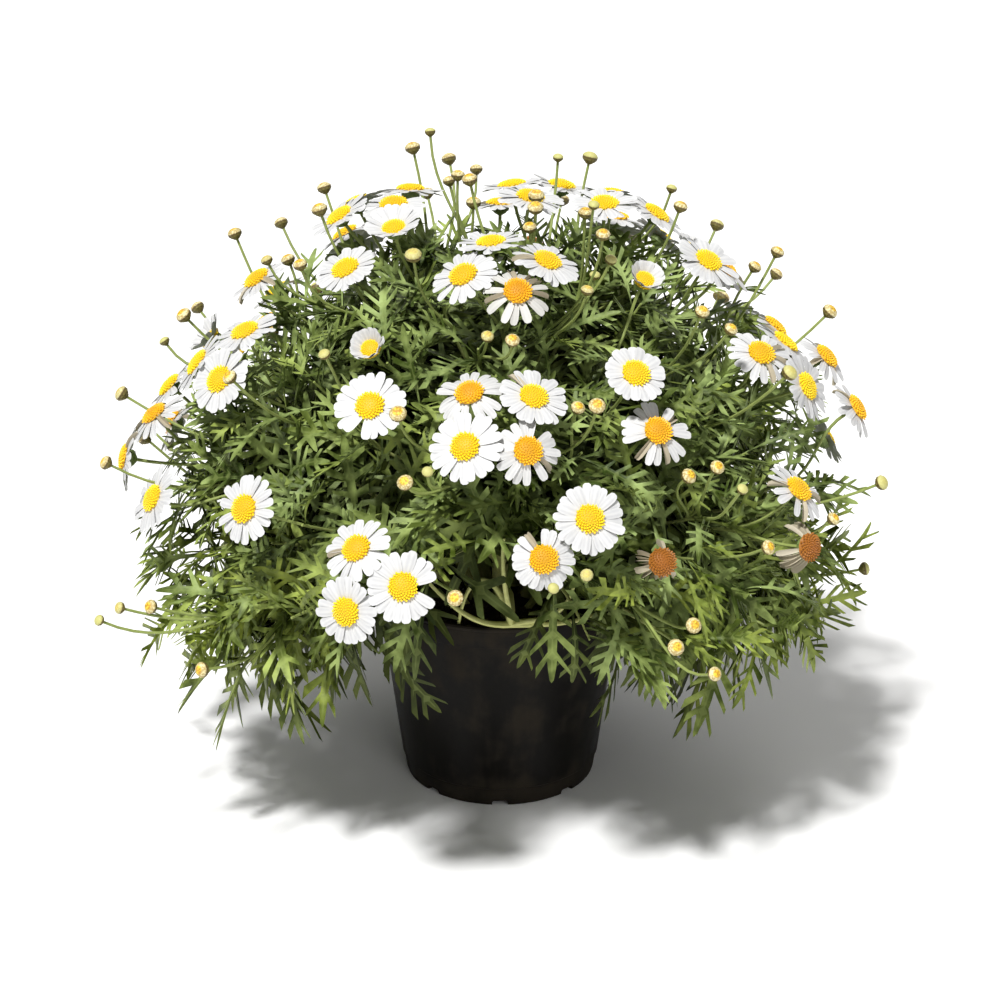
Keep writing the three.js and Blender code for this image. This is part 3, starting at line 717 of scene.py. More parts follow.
def fork_of(runner, j):
    """A side stem that leaves a low stem over the rim, swings aside and turns up into the foliage."""
    n = FORK_DRAWS + 60 * runner["number"] + 9 * j
    at = 0.46 + 0.17 * j + spread(n, 0.06)
    start = runner["run"].at(at)
    out = heading(90, math.degrees(math.atan2(start.y, start.x)))
    aside = UP.cross(out) * (1 if (j + runner["number"]) % 2 else -1)
    leave = start + runner["run"].along(at) * 0.016 + aside * (0.012 + 0.012 * draw(n + 1))
    end = start + out * (0.02 + spread(n + 2, 0.014)) + aside * (0.03 + 0.026 * draw(n + 3))
    end += UP * (0.034 + spread(n + 4, 0.02))
    run = Bend(start, leave, end - UP * 0.022 - out * 0.004, end)
    outward = (end - CROWN).normalized()
    number = RUNNERS + FORKS_ON_RUNNER * runner["number"] + j
    return {"branch": runner["branch"], "number": number, "lean": 84, "outward": outward, "run": run}


def tip_of(stem):
    return stem["run"].at(1.0)


twigs = [twig_of(i) for i in range(TWIGS)]
twigs = [twig for twig in twigs if tip_of(twig).z > hem(*tip_of(twig).xy) + TWIG_OVER_HEM]
runners = [runner_of(i) for i in range(RUNNERS)]
runners = [runner for runner in runners if tip_of(runner).y > WINDOW_DEPTH]
forks = [fork_of(runner, j) for runner in runners for j in range(FORKS_ON_RUNNER)]
trunk = {"branch": 0, "run": Bend(TRUNK_START, TRUNK_WAY_OUT, KNOT + TRUNK_WAY_IN, KNOT)}
bare_stems = [
    {"branch": 0, "run": Bend(KNOT, KNOT + Vector(out), KNOT + Vector(way_in), KNOT + Vector(end))}
    for out, way_in, end in BARE_STEMS
]


def grow_tubes(name, runs):
    """Round, tapering stems along runs of points, given as (points, first radius, last radius)."""
    data = bpy.data.curves.new(name, "CURVE")
    data.dimensions = "3D"
    data.bevel_depth = 1.0
    data.bevel_resolution = 1
    data.use_fill_caps = True
    for points, first, last in runs:
        spline = data.splines.new("POLY")
        spline.points.add(len(points) - 1)
        for k, point in enumerate(points):
            share = k / (len(points) - 1)
            spline.points[k].co = (*point, 1)
            spline.points[k].radius = first + (last - first) * share
    tubes = bpy.data.objects.new(name, data)
    bpy.context.scene.collection.objects.link(tubes)
    deselect_all()
    tubes.select_set(True)
    bpy.context.view_layer.objects.active = tubes
    bpy.ops.object.convert(target="MESH")
    return bpy.context.object


def stem_runs(b):
    """The runs of one branch's foot and of all stems on it."""
    foot, fork = branches[b]["foot"], branches[b]["fork"]
    collar = foot + UP * (FOOT_DEPTH + 0.004)
    runs = [([foot, collar, fork - UP * 0.004, fork + UP * 0.004], FOOT_RADIUS, FOOT_RADIUS * 1.1)]
    for group, steps, radii in [
        (shoots, 14, SHOOT_RADII),
        (twigs, 9, TWIG_RADII),
        (runners, 14, RUNNER_RADII),
        (forks, 10, FORK_RADII),
        ([trunk], 12, TRUNK_RADII),
        (bare_stems, 14, BARE_RADII),
    ]:
        runs += [(stem["run"].points(steps), *radii) for stem in group if stem["branch"] == b]
    return runs


def stem_finish():
    finish = Finish("green_stems", 0.5, Specular_IOR_Level=0.2)
    young = finish.ramp(finish.distance_from(CROWN), 0.1, 0.18)
    grain = finish.noise(260.0)
    wood = finish.mix(grain, (0.36, 0.38, 0.1), (0.62, 0.63, 0.27))
    green = finish.mix(grain, (0.17, 0.22, 0.05), (0.32, 0.37, 0.12))
    finish.colour(finish.mix(young, wood, green))
    finish.bump(finish.noise(1400.0, 2.0), 0.0003, 0.5)
    return finish.material


green_stem = stem_finish()
for b in range(BRANCHES):
    stems = grow_tubes(f"stems_{b + 1}", stem_runs(b))
    settle(stems, green_stem, 60)
    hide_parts(f"leafy_branch_{b + 1}")


# The leaves: cut blades like small antlers, 3 to 7 cm long, grey-green in the light and yellower near
# the rim. Each has a raised midrib and narrow lobes that point forwards, and is folded and bent.
LEAF_THICKNESS = 0.016
LEAF_END = 0.97
LEAF_END_SHARE = 0.55
LEAF_POINT = 0.03
# A leaf's stations along its rachis as (share of its length, half-width), and its lobes as
# (first station, side, length, degrees from the rachis, width of the end as a share)
LONG_LEAF = {
    "rachis": [
        (0, 0.02), (0.2, 0.016), (0.3, 0.022), (0.35, 0.026), (0.42, 0.026), (0.475, 0.03), (0.54, 0.03),
        (0.595, 0.034), (0.66, 0.033), (0.72, 0.037), (0.785, 0.034), (0.84, 0.037), (0.9, 0.03),
    ],
    "lobes": [
        (2, 1, 0.09, 58, 0.5), (2, -1, 0.07, 60, 0.6), (4, 1, 0.14, 54, 0.6), (4, -1, 0.15, 52, 1.2),
        (6, 1, 0.18, 48, 1.3), (6, -1, 0.17, 50, 0.55), (8, 1, 0.18, 44, 0.55), (8, -1, 0.18, 46, 1.3),
        (10, 1, 0.13, 38, 1.1), (10, -1, 0.15, 40, 0.5),
    ],
}
LOOSE_LEAF = {
    "rachis": [
        (0, 0.019), (0.22, 0.016), (0.33, 0.023), (0.385, 0.027), (0.44, 0.027), (0.495, 0.031),
        (0.555, 0.031), (0.61, 0.035), (0.67, 0.034), (0.73, 0.038), (0.79, 0.036), (0.85, 0.037),
        (0.91, 0.029),
    ],
    "lobes": [
        (2, 1, 0.12, 58, 0.55), (3, -1, 0.12, 58, 0.5), (5, 1, 0.17, 50, 1.3), (6, -1, 0.17, 52, 0.55),
        (7, 1, 0.18, 46, 0.55), (8, -1, 0.19, 46, 1.3), (10, 1, 0.14, 38, 0.55), (10, -1, 0.12, 42, 1.1),
    ],
}
SHORT_LEAF = {
    "rachis": [
        (0, 0.024), (0.25, 0.019), (0.4, 0.028), (0.465, 0.033), (0.56, 0.033), (0.63, 0.039),
        (0.73, 0.037), (0.8, 0.041), (0.88, 0.032),
    ],
    "lobes": [
        (2, 1, 0.14, 56, 0.55), (2, -1, 0.12, 54, 1.1), (4, 1, 0.19, 48, 1.3), (4, -1, 0.2, 50, 0.55),
        (6, 1, 0.17, 40, 0.5), (6, -1, 0.15, 42, 1.2),
    ],
}
INNER_LEAF = {
    "rachis": [(0, 0.02), (0.35, 0.032), (0.46, 0.048), (0.58, 0.05), (0.85, 0.05)],
    "lobes": [(2, 1, 0.26, 50, 0.7), (2, -1, 0.24, 45, 0.7)],
}


def nearest_to(targets):
    """A test that a vertex passes when it lies on one of the targets."""
    return lambda place: any((place - Vector(target)).length < 1e-4 for target in targets)


def grow_lobe(leaf, edge, side, length, degrees, end_share):
    """A narrow lobe from the rachis' edge between two points, with a blunt or a spread end."""
    select_by_place(leaf, nearest_to(edge))
    bpy.ops.mesh.subdivide(number_cuts=1)
    middle = (Vector(edge[0]) + Vector(edge[1])) / 2
    select_by_place(leaf, nearest_to([*edge, middle]))
    way = Vector((math.cos(math.radians(degrees)), side * math.sin(math.radians(degrees)), 0))
    bpy.ops.mesh.extrude_region_move(TRANSFORM_OT_translate={"value": way * length})
    bpy.ops.transform.resize(value=(end_share, end_share, 1), center_override=middle + way * length)


def model_leaf(rachis, lobes):
    """A flat sheet with a middle line in its rachis and in each lobe, closed into a thin blade."""
    deselect_all()
    bpy.ops.mesh.primitive_grid_add(x_subdivisions=1, y_subdivisions=2, size=1)
    leaf = bpy.context.object
    bpy.ops.object.mode_set(mode="EDIT")
    bpy.ops.transform.resize(value=(rachis[1][0], 2 * rachis[1][1], 1), center_override=(0, 0, 0))
    bpy.ops.transform.translate(value=(rachis[1][0] / 2, 0, 0))
    for (share, width), (further, wider) in zip(rachis[1:], rachis[2:]):
        select_by_place(leaf, lambda place: place.x > share - 1e-4)
        bpy.ops.mesh.extrude_region_move(TRANSFORM_OT_translate={"value": (further - share, 0, 0)})
        bpy.ops.transform.resize(value=(1, wider / width, 1), center_override=(further, 0, 0))
    for station, side, length, degrees, end_share in lobes:
        edge = [(share, side * half, 0) for share, half in rachis[station:station + 2]]
        grow_lobe(leaf, edge, side, length, degrees, end_share)
    last, half = rachis[-1]
    select_by_place(leaf, nearest_to([(last, y, 0) for y in (-half, 0, half)]))
    bpy.ops.mesh.extrude_region_move(TRANSFORM_OT_translate={"value": (LEAF_END - last, 0, 0)})
    bpy.ops.transform.resize(value=(1, LEAF_END_SHARE, 1), center_override=(LEAF_END, 0, 0))
    select_by_place(leaf, nearest_to([(LEAF_END, 0, 0)]))
    bpy.ops.transform.translate(value=(LEAF_POINT, 0, 0))
    return close_blade(leaf, LEAF_THICKNESS)


def close_blade(sheet, thickness):
    """Lifts a sheet's inner lines, mirrors it under itself and welds the rims."""
    bpy.ops.mesh.select_all(action="DESELECT")
    bpy.ops.mesh.select_non_manifold()
    bpy.ops.mesh.select_all(action="INVERT")
    bpy.ops.transform.translate(value=(0, 0, thickness / 2))
    bpy.ops.mesh.select_all(action="SELECT")
    bpy.ops.mesh.duplicate()
    bpy.ops.transform.resize(value=(1, 1, -1), center_override=(0, 0, 0))
    bpy.ops.mesh.select_all(action="SELECT")
    bpy.ops.mesh.remove_doubles(threshold=1e-5)
    bpy.ops.mesh.normals_make_consistent(inside=False)
    shape = shape_of(sheet)
    shape["rim"] = np.where(np.abs(shape["points"][:, 2]) < 1e-5, 1.0, 0.0)
    return shape


long_leaf = model_leaf(**LONG_LEAF)
loose_leaf = model_leaf(**LOOSE_LEAF)
short_leaf = model_leaf(**SHORT_LEAF)
inner_leaf = model_leaf(**INNER_LEAF)


def unit(vector):
    return vector / np.linalg.norm(vector)


def bent_copy(shape, root, along, face, length, width, bend, fold, twist, sag):
    """A blade's points, its middle line bent back from its face, its sides folded up and turned."""
    share, half, lift = shape["points"].T
    across = np.cross(face, along)
    turned = bend * share
    step = share * np.sinc(turned / np.pi)
    fall = np.where(share > 0, (1 - np.cos(turned)) / bend, 0)
    middle = np.outer(step, along) - np.outer(fall, face)
    normal = np.outer(np.cos(turned), face) + np.outer(np.sin(turned), along)
    roll = (twist * share)[:, None]
    side = np.cos(roll) * across + np.sin(roll) * normal
    normal = np.cos(roll) * normal - np.sin(roll) * across
    rise = lift + fold * np.abs(half)
    points = root + length * (middle + side * (width * half)[:, None] + normal * rise[:, None])
    points[:, 2] -= sag * length * share**2
    return points


# Where the blooms stand: the broad flat underside of each yellow disc in the solids tells its place
# and the way it faces. Then come single blooms and pairs, on twigs, in the gaps between the clusters.
DISC_UNDERSIDE = 0.0015
BLOOM_RADIUS = 0.0185
BLOOM_SHELL = 0.213
CLUSTER_DRAWS = 5000
LONE_PLACES = 150
LONE_DRAWS = 15000
LONE_LEAN = 80
HALF_OPEN_SHARE = 0.16
BLOOMS_APART = 0.044
PAIR_SHARE = 0.4
PAIR_PITCH = 0.0315
PAIR_APART = 0.0295
# A bloom past the first age withers, and is then older by the second
WITHERS_FROM = 0.88
WITHERED_BY = 0.5


def bloom_seat(number):
    """The middle of a head on its cup and the way it faces, from a yellow disc of the solids."""
    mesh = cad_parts[f"disc_{number:02d}"].data
    undersides = {}
    for face in mesh.polygons:
        key = tuple(round(x, 2) for x in face.normal)
        undersides.setdefault(key, []).append(face)
    flat = max(undersides.values(), key=lambda faces: sum(face.area for face in faces))
    area = sum(face.area for face in flat)
    centre = sum((face.center * face.area for face in flat), Vector()) / area
    facing = -flat[0].normal.normalized()
    return centre - facing * DISC_UNDERSIDE, facing


def age_at(centre, n):
    """Lower blooms are the older ones: 0 has just opened, 1 begins to fade, and past 1 it withers."""
    lean = (centre - CROWN).angle(UP) / math.radians(90)
    age = min(1.0, 0.05 + 0.3 * lean + 0.75 * draw(n) ** 2)
    return age if age < WITHERS_FROM else age + WITHERED_BY


def clustered_blooms():
    """The blooms at the ends of the shoots, in the order of the solids' discs."""
    made = []
    for shoot in shoots:
        for j in range(shoot["blooms"]):
            n = CLUSTER_DRAWS + shoot["number"] * 10 + j
            number = len(made) + 1
            centre, facing = bloom_seat(number)
            made.append({
                "branch": shoot["branch"],
                "shoot": shoot["number"],
                "number": number,
                "centre": centre,
                "facing": facing,
                "from": shoot["run"].at(0.93),
                "leave": shoot["tangent"],
                "radius": BLOOM_RADIUS + spread(n + 9, 0.0016),
                "age": age_at(centre, n + 400),
                "open": 1.0,
            })
    return made


def twig_towards(outward):
    """The twig whose own direction from the crown comes nearest."""
    return max(twigs, key=lambda twig: twig["outward"].dot(outward))


def lone_bloom(outward, number, n):
    """A bloom at the end of a twig. Some are half open: small, with rays that still stand up."""
    twig = twig_towards(outward)
    centre = CROWN + outward * (BLOOM_SHELL - 0.003 + spread(n, 0.016))
    aside = heading(90, 360 * draw(n + 1)) * 0.25 * draw(n + 2)
    facing = outward + UP * 0.25 + heading(90, FRONT) * 0.2 + aside
    opened = 0.15 + 0.5 * draw(n + 6) if draw(n + 5) <= HALF_OPEN_SHARE else 1.0
    return {
        "branch": twig["branch"],
        "shoot": None,
        "number": number,
        "centre": centre,
        "facing": facing.normalized(),
        "from": twig["run"].at(0.85),
        "leave": twig["run"].along(0.9),
        "radius": (BLOOM_RADIUS - 0.0008 + spread(n + 3, 0.003)) * (0.62 + 0.38 * opened),
        "age": age_at(centre, n + 4) if opened == 1 else 0.0,
        "open": opened,
    }


def room_for(centre, apart):
    return all((centre - bloom["centre"]).length > apart for bloom in blooms)


def add_lone_blooms():
    """Tries places spread evenly over the dome, lower at its sides and back than at its front."""
    for k in range(LONE_PLACES):
        n = LONE_DRAWS + 24 * k
        level = 1 - (1 - math.cos(math.radians(LONE_LEAN))) * (k + 0.2 + 0.6 * draw(n)) / LONE_PLACES
        lean = math.degrees(math.acos(level))
        azimuth = math.degrees(k * GOLDEN_ANGLE) + spread(n + 1, 12) + 15
        if lean > LONE_LEAN - 12 * max(0, math.cos(math.radians(azimuth - FRONT))):
            continue
        bloom = lone_bloom(heading(lean, azimuth), len(blooms) + 1, n + 2)
        if not room_for(bloom["centre"], BLOOMS_APART):
            continue
        blooms.append(bloom)
        if draw(n + 12) < PAIR_SHARE:
            away = bloom["facing"].cross(heading(90, 360 * draw(n + 13))).normalized()
            beside = (bloom["centre"] + away * PAIR_PITCH - CROWN).normalized()
            partner = lone_bloom(beside, len(blooms) + 1, n + 14)
            if room_for(partner["centre"], PAIR_APART) and beside.angle(UP) < math.radians(LONE_LEAN):
                blooms.append(partner)


blooms = clustered_blooms()
add_lone_blooms()
bloom_centres = np.array([bloom["centre"] for bloom in blooms])
bloom_facings = np.array([bloom["facing"] for bloom in blooms])
bloom_radii = np.array([bloom["radius"] for bloom in blooms])


def clear_of_blooms(points, before=0.014):
    """True if no point lies within a bloom's rays or close in front of them."""
    apart = points[:, None, :] - bloom_centres[None]
    height = (apart * bloom_facings[None]).sum(2)
    flat = np.sqrt(np.maximum((apart**2).sum(2) - height**2, 0))
    return not np.any((flat < bloom_radii + 0.0005) & (height > -0.006) & (height < before))


def clear_of_pot(points):
    x, y, z = points.T
    return not np.any((np.hypot(x, y) < POT_RIM + 0.003) & (z < POT_TOP + 0.004))


def clear_of_window(points):
    """True if no point hides the bare stems at the rim's front from a viewer who looks down on them."""
    x, y, z = points.T
    rise = y * math.sin(CAMERA_HEIGHT_ANGLE) + z * math.cos(CAMERA_HEIGHT_ANGLE)
    aside = (x - WINDOW_CENTRE[0]) / WINDOW_HALF[0]
    above = (rise - WINDOW_CENTRE[1]) / WINDOW_HALF[1]
    return not np.any((aside**2 + above**2 < 1) & (y < WINDOW_DEPTH))


# The leaves on the stems. A leaf that finds no room is tried again, turned and sized another way.
LEAVES_ON_TWIG = 12
LEAVES_ON_SHOOT = 16
LEAVES_ON_RUNNER = 6
LEAVES_ON_FORK = 4
LEAF_TRIES = 3
INNER_LEAVES = 9
INNER_LEAF_DRAWS = 400000
LEAF_LENGTH = 0.057
LEAF_SHELL = 0.208
HEM_TANGLE = 0.03
LONG_DROP = 0.035
HANGING_SHARE = 0.12


def place_leaf(growth, stem, at, n, k, shapes, length, hem_drop):
    """One leaf on a stem: it opens away from the stem, turns its face to the light, and sags.

    It says whether the leaf found room between the blooms, over the hem and within the dome."""
    along_stem = np.array(stem["run"].along(at))
    root = np.array(stem["run"].at(at))
    out = np.array(stem["outward"])
    hang = max(0, (stem["lean"] - 62) / 45)
    side = unit(np.cross(along_stem, out + np.array((0.013, 0.017, 0.3))))
    other = np.cross(along_stem, side)
    turn = k * GOLDEN_ANGLE + 2 * math.pi * draw(n)
    away = side * math.cos(turn) + other * math.sin(turn)
    opening = math.radians(74 - 34 * at**3 + spread(n + 1, 30))
    along = unit(along_stem * math.cos(opening) + away * math.sin(opening) + 0.12 * out)
    light = along_stem * 0.5 + out * 0.5 + np.array((0, 0, 0.55)) + away * 0.3 + other * spread(n + 11, 1.2)
    face = light - along * (light @ along)
    if np.linalg.norm(face) < 0.2:
        return False
    shape = shapes[int(draw(n + 3) * len(shapes))]
    points = bent_copy(
        shape, root, along, unit(face), length * (1 + spread(n + 2, 0.35)),
        width=1.0 + spread(n + 4, 0.3),
        bend=0.6 + 0.4 * hang + spread(n + 5, 1.0),
        fold=0.2 + 0.35 * draw(n + 6),
        twist=spread(n + 7, 1.3),
        sag=0.06 + hang * (0.1 + 0.5 * draw(n + 12)),
    )
    low = points[np.argmin(points[:, 2])]
    long_drop = LONG_DROP if draw(n + 9) < HANGING_SHARE else 0
    lowest = hem(low[0], low[1]) - hem_drop + spread(n + 14, HEM_TANGLE) - long_drop
    reach = np.linalg.norm(points - np.array(CROWN), axis=1).max()
    too_far = reach > LEAF_SHELL + 0.012 * draw(n + 10)
    if low[2] < lowest or too_far or not clear_of_pot(points) or not clear_of_blooms(points):
        return False
    if draw(n + 15) < WINDOW_SHARE and not clear_of_window(points):
        return False
    tone = min(1.0, max(0.0, 0.7 * hang + spread(n + 8, 0.7) + 0.3))
    growth.add(shape, points, shape["points"][:, 0], shape["rim"], tone)
    return True


def grow_leaves(b):
    """All leaves on one branch, from rows of (stems, draws, share where they start, count, hem drop)."""
    growth = Growth()
    outer = (long_leaf, loose_leaf, loose_leaf, short_leaf)
    for stems, draws, from_share, count, drop in [
        (twigs, 30000, 0.3, LEAVES_ON_TWIG, 0.0),
        (shoots, 300000, 0.34, LEAVES_ON_SHOOT, 0.03),
        (runners, 350000, 0.55, LEAVES_ON_RUNNER, 0.03),
        (forks, 370000, 0.3, LEAVES_ON_FORK, 0.02),
    ]:
        for stem in stems:
            for k in range(count if stem["branch"] == b else 0):
                at = from_share + (1 - from_share) * ((k + 0.5) / count) ** 0.8
                length = LEAF_LENGTH * (1.1 - 0.3 * max(0, at - 0.55) / 0.45 + 0.2 * (stem["lean"] > 88))
                n = draws + 900 * stem["number"] + 40 * k
                for tries in range(LEAF_TRIES):
                    if place_leaf(growth, stem, at, n + 13 * tries, k, outer, length, drop):
                        break
    for stem in twigs:
        for k in range(INNER_LEAVES if stem["branch"] == b else 0):
            n = INNER_LEAF_DRAWS + 500 * stem["number"] + 13 * k
            at = 0.04 + 0.5 * (k + 0.5) / INNER_LEAVES
            place_leaf(growth, stem, at, n, k, (inner_leaf,), 0.95 * LEAF_LENGTH, 0.0)
    return growth.piece(f"leaves_{b + 1}")


def leaf_finish():
    finish = Finish("cut_leaves", 0.45, Specular_IOR_Level=0.13)
    tone = finish.grown("Z")
    blotch = finish.noise(120.0)
    bright = finish.ramp(finish.noise(45.0) * 0.6 + blotch * 0.4, 0.39, 0.66)
    grey_green = finish.mix(bright, (0.03, 0.05, 0.006), (0.345, 0.44, 0.155))
    yellow_green = finish.mix(bright, (0.05, 0.075, 0.004), (0.38, 0.455, 0.075))
    blade = finish.mix(finish.ramp(tone, 0.15, 0.95), grey_green, yellow_green)
    # Painted shade: leaves near the crown, deep inside the foliage, are darkened towards near-black for the
    # shade that falls there.
    painted_inner_shade = 1 - finish.ramp(finish.distance_from(CROWN), 0.105, 0.188)
    blade = finish.mix(painted_inner_shade * 0.9, blade, (0.01, 0.015, 0.002))
    tipped = finish.mix(finish.ramp(finish.grown("X"), 0.5, 1.0) * 0.25, blade, (0.17, 0.21, 0.05))
    rib = 1 - finish.ramp(finish.grown("Y"), 0.0, 0.35)
    finish.colour(finish.mix(rib * 0.3, tipped, (0.24, 0.29, 0.09)))
    finish.roughness(blotch * 0.2 + 0.36)
    finish.bump(finish.noise(900.0), 0.0003, 0.6)
    return finish.material


cut_leaf = leaf_finish()
for b in range(BRANCHES):
    settle(grow_leaves(b), cut_leaf, 50)


# The flower stalks and cups: a bare, slender stalk rises from a shoot's end to each bloom and swells
# into a shallow green cup of overlapping scales with thin brown edges, which holds the head together.
STALK_RADIUS = 0.00075
STALK_STEPS = 10
CUP_NECK = 0.005
CUP_RADIUS = 0.0056
# The steps of the bowl as (radius, next radius, rise), a unit in radius at the rim
CUP_STEPS = [(0.2, 0.62, 0.25), (0.62, 0.9, 0.4), (0.9, 0.94, 0.3)]
# The rows of scales, each as (radius, height, count, length, width, tilt in radians)
CUP_SCALES = [
    (0.5, -0.75, 9, 0.62, 0.42, 0.75),
    (0.86, -0.5, 12, 0.55, 0.46, 0.15),
]


def stalk_run(start, leave, end, facing):
    """A stalk's way from a stem's side up to a head, which it meets from behind."""
    span = (end - start).length
    return Bend(start, start + leave * (0.4 * span), end - facing * (0.42 * span), end)


def frame_round(facing, spin):
    """Two directions across a facing one, turned about it."""
    facing = np.array(facing)
    side = unit(np.cross(facing, np.array((0.31, 0.22, 0.93))))
    other = np.cross(facing, side)
    return math.cos(spin) * side + math.sin(spin) * other, math.cos(spin) * other - math.sin(spin) * side


def set_on(shape, centre, facing, size, spin):
    """A round shape's points, set on a place and turned to face a way."""
    side, other = frame_round(facing, spin)
    x, y, z = shape["points"].T
    flat = np.outer(x, side) + np.outer(y, other)
    return np.array(centre) + size * (flat + np.outer(z, np.array(facing)))


def model_scale():
    """A thin pointed tongue, a unit long, whose middle is raised."""
    deselect_all()
    bpy.ops.mesh.primitive_plane_add(size=1, location=(0.5, 0, 0))
    scale = bpy.context.object
    bpy.ops.object.transform_apply(location=True)
    select_by_place(scale, lambda place: place.x > 0.9)
    bpy.ops.transform.resize(value=(1, 0.35, 1), center_override=(1, 0, 0))
    bpy.ops.mesh.select_all(action="SELECT")
    bpy.ops.mesh.poke()
    return close_blade(scale, 0.2)


def scaly(body, rows):
    """A round body with rows of scales on it. Its edge is 1 along the brown edges of the scales."""
    points = [body["points"]]
    corners = [body["corners"]]
    edge = [np.zeros(len(body["points"]))]
    count = len(body["points"])
    upright = np.array((0, 0, 1))
    x, y, z = scale_shape["points"].T
    curled = z - 0.13 * x * x
    for r, (radius, height, number, length, width, tilt) in enumerate(rows):
        for k in range(number):
            turn = 2 * math.pi * (k + 0.5 * (r % 2)) / number
            radial = np.array((math.cos(turn), math.sin(turn), 0))
            across = np.array((-math.sin(turn), math.cos(turn), 0))
            up = upright * math.cos(tilt) + radial * math.sin(tilt)
            out = radial * math.cos(tilt) - upright * math.sin(tilt)
            scale = np.outer(x * length, up) + np.outer(y * width, across) + np.outer(curled * length, out)
            points.append(scale + radial * radius + upright * height)
            corners.append(scale_shape["corners"] + count)
            edge.append(scale_shape["rim"] * (x > 0.4))
            count += len(x)
    return {
        "points": np.concatenate(points),
        "corners": np.concatenate(corners),
        "edge": np.concatenate(edge),
    }


def model_cup():
    """A bowl a unit in radius, whose rim is at height 0, with two rows of scales."""
    deselect_all()
    bpy.ops.mesh.primitive_circle_add(vertices=14, radius=0.2, fill_type="NGON", location=(0, 0, -0.95))
    cup = bpy.context.object
    bpy.ops.object.transform_apply(location=True)
    bpy.ops.object.mode_set(mode="EDIT")
    bpy.ops.mesh.region_to_loop()
    for radius, wider, rise in CUP_STEPS:
        bpy.ops.mesh.extrude_edges_move(TRANSFORM_OT_translate={"value": (0, 0, rise)})
        bpy.ops.transform.resize(value=(wider / radius, wider / radius, 1), center_override=(0, 0, 0))
    bpy.ops.mesh.edge_face_add()
    bpy.ops.mesh.select_all(action="SELECT")
    bpy.ops.mesh.normals_make_consistent(inside=False)
    return scaly(shape_of(cup), CUP_SCALES)


def cup_finish():
    finish = Finish("green_cups", 0.6)
    green = finish.mix(finish.noise(500.0), (0.1, 0.15, 0.035), (0.2, 0.26, 0.075))
    finish.colour(finish.mix(finish.ramp(finish.grown("Y"), 0.5, 1.0) * 0.7, green, (0.13, 0.075, 0.025)))
    return finish.material


def grow_cups(b):
    """One branch's cups and the stalks that carry them."""
    growth = Growth()
    runs = []
    for bloom in blooms:
        if bloom["branch"] == b:
            neck = bloom["centre"] - bloom["facing"] * CUP_NECK
            run = stalk_run(bloom["from"], bloom["leave"], neck, bloom["facing"])
            runs.append((run.points(STALK_STEPS), STALK_RADIUS, STALK_RADIUS * 1.3))
            points = set_on(cup_shape, bloom["centre"], bloom["facing"], CUP_RADIUS, draw(bloom["number"]))
            growth.add(cup_shape, points, 0, cup_shape["edge"], 0)
    return growth.piece(f"cups_{b + 1}"), grow_tubes(f"flower_stalks_{b + 1}", runs)


scale_shape = model_scale()
cup_shape = model_cup()
green_cup = cup_finish()
for b in range(BRANCHES):
    cups, stalks = grow_cups(b)
    settle(cups, green_cup, 40)
    settle(stalks, green_stem, 60)


# The buds: round heads on long bare stalks that stand above the leaves. Olive scales with brown edges
# close over the lower part, which narrows to the stalk, and pale rays and yellow florets close the top.
BUD_RADIUS = 0.0046
BUD_DRAWS = 3000
BUD_GROUPS = 52
BUD_GROUP_DRAWS = 7000
BUD_LEAN = 84
BUDS_APART = 0.0105
BUD_STALK_RADIUS = 0.0009
# The rows of scales, each given as a cup's are
BUD_SCALES = [
    (0.22, -0.78, 7, 0.56, 0.44, 0.92),
    (0.52, -0.57, 9, 0.56, 0.44, 0.74),
    (0.8, -0.32, 11, 0.52, 0.44, 0.3),
]


def model_bud():
    """A ball a unit in radius, flatter above and narrowed to its foot, with three rows of scales."""
    deselect_all()
    bpy.ops.mesh.primitive_uv_sphere_add(segments=12, ring_count=7, radius=1)
    bud = bpy.context.object
    for vertex in bud.data.vertices:
        depth = max(0.0, -vertex.co.z)
        girth = vertex.co.xy.length
        if depth and girth > 0.01:
            vertex.co.xy *= 0.5 + 0.5 * (1 - depth) / girth
        vertex.co.z *= 0.85 if depth else 0.68
        vertex.co.xy *= 0.95
    return scaly(shape_of(bud), BUD_SCALES)


def add_bud(branch, run, facing, size, ripe):
    """A bud at the end of its stalk's run: ripe goes from 0, small and closed, to 1, about to open."""
    buds.append({"branch": branch, "run": run, "facing": facing, "size": size, "ripe": ripe})


def add_shoot_buds():
    """The buds that the solids have too: beside a cluster's blooms, or alone at a shoot's end."""
    for shoot in shoots:
        for j in range(shoot["buds"]):
            n = BUD_DRAWS + shoot["number"] * 10 + j
            sign = -1 if j % 2 else 1
            reach, aside, parted = BLOOM_SHELL - 0.008, 0.016, 0.4
            if shoot["blooms"]:
                reach, aside, parted = BLOOM_SHELL + 0.012 + spread(n, 0.016), 0.05, 1.6
            offset = shoot["across"] * (sign * (aside + spread(n + 5, 0.006)))
            centre = CROWN + shoot["outward"] * reach + offset
            facing = (shoot["outward"] + UP * 0.25 + shoot["across"] * (0.1 * sign)).normalized()
            leave = (shoot["tangent"] + shoot["across"] * (sign * parted)).normalized()
            run = stalk_run(shoot["run"].at(0.9), leave, centre, facing)
            add_bud(shoot["branch"], run, facing, BUD_RADIUS * (1 + spread(n + 6, 0.2)), draw(n + 7))


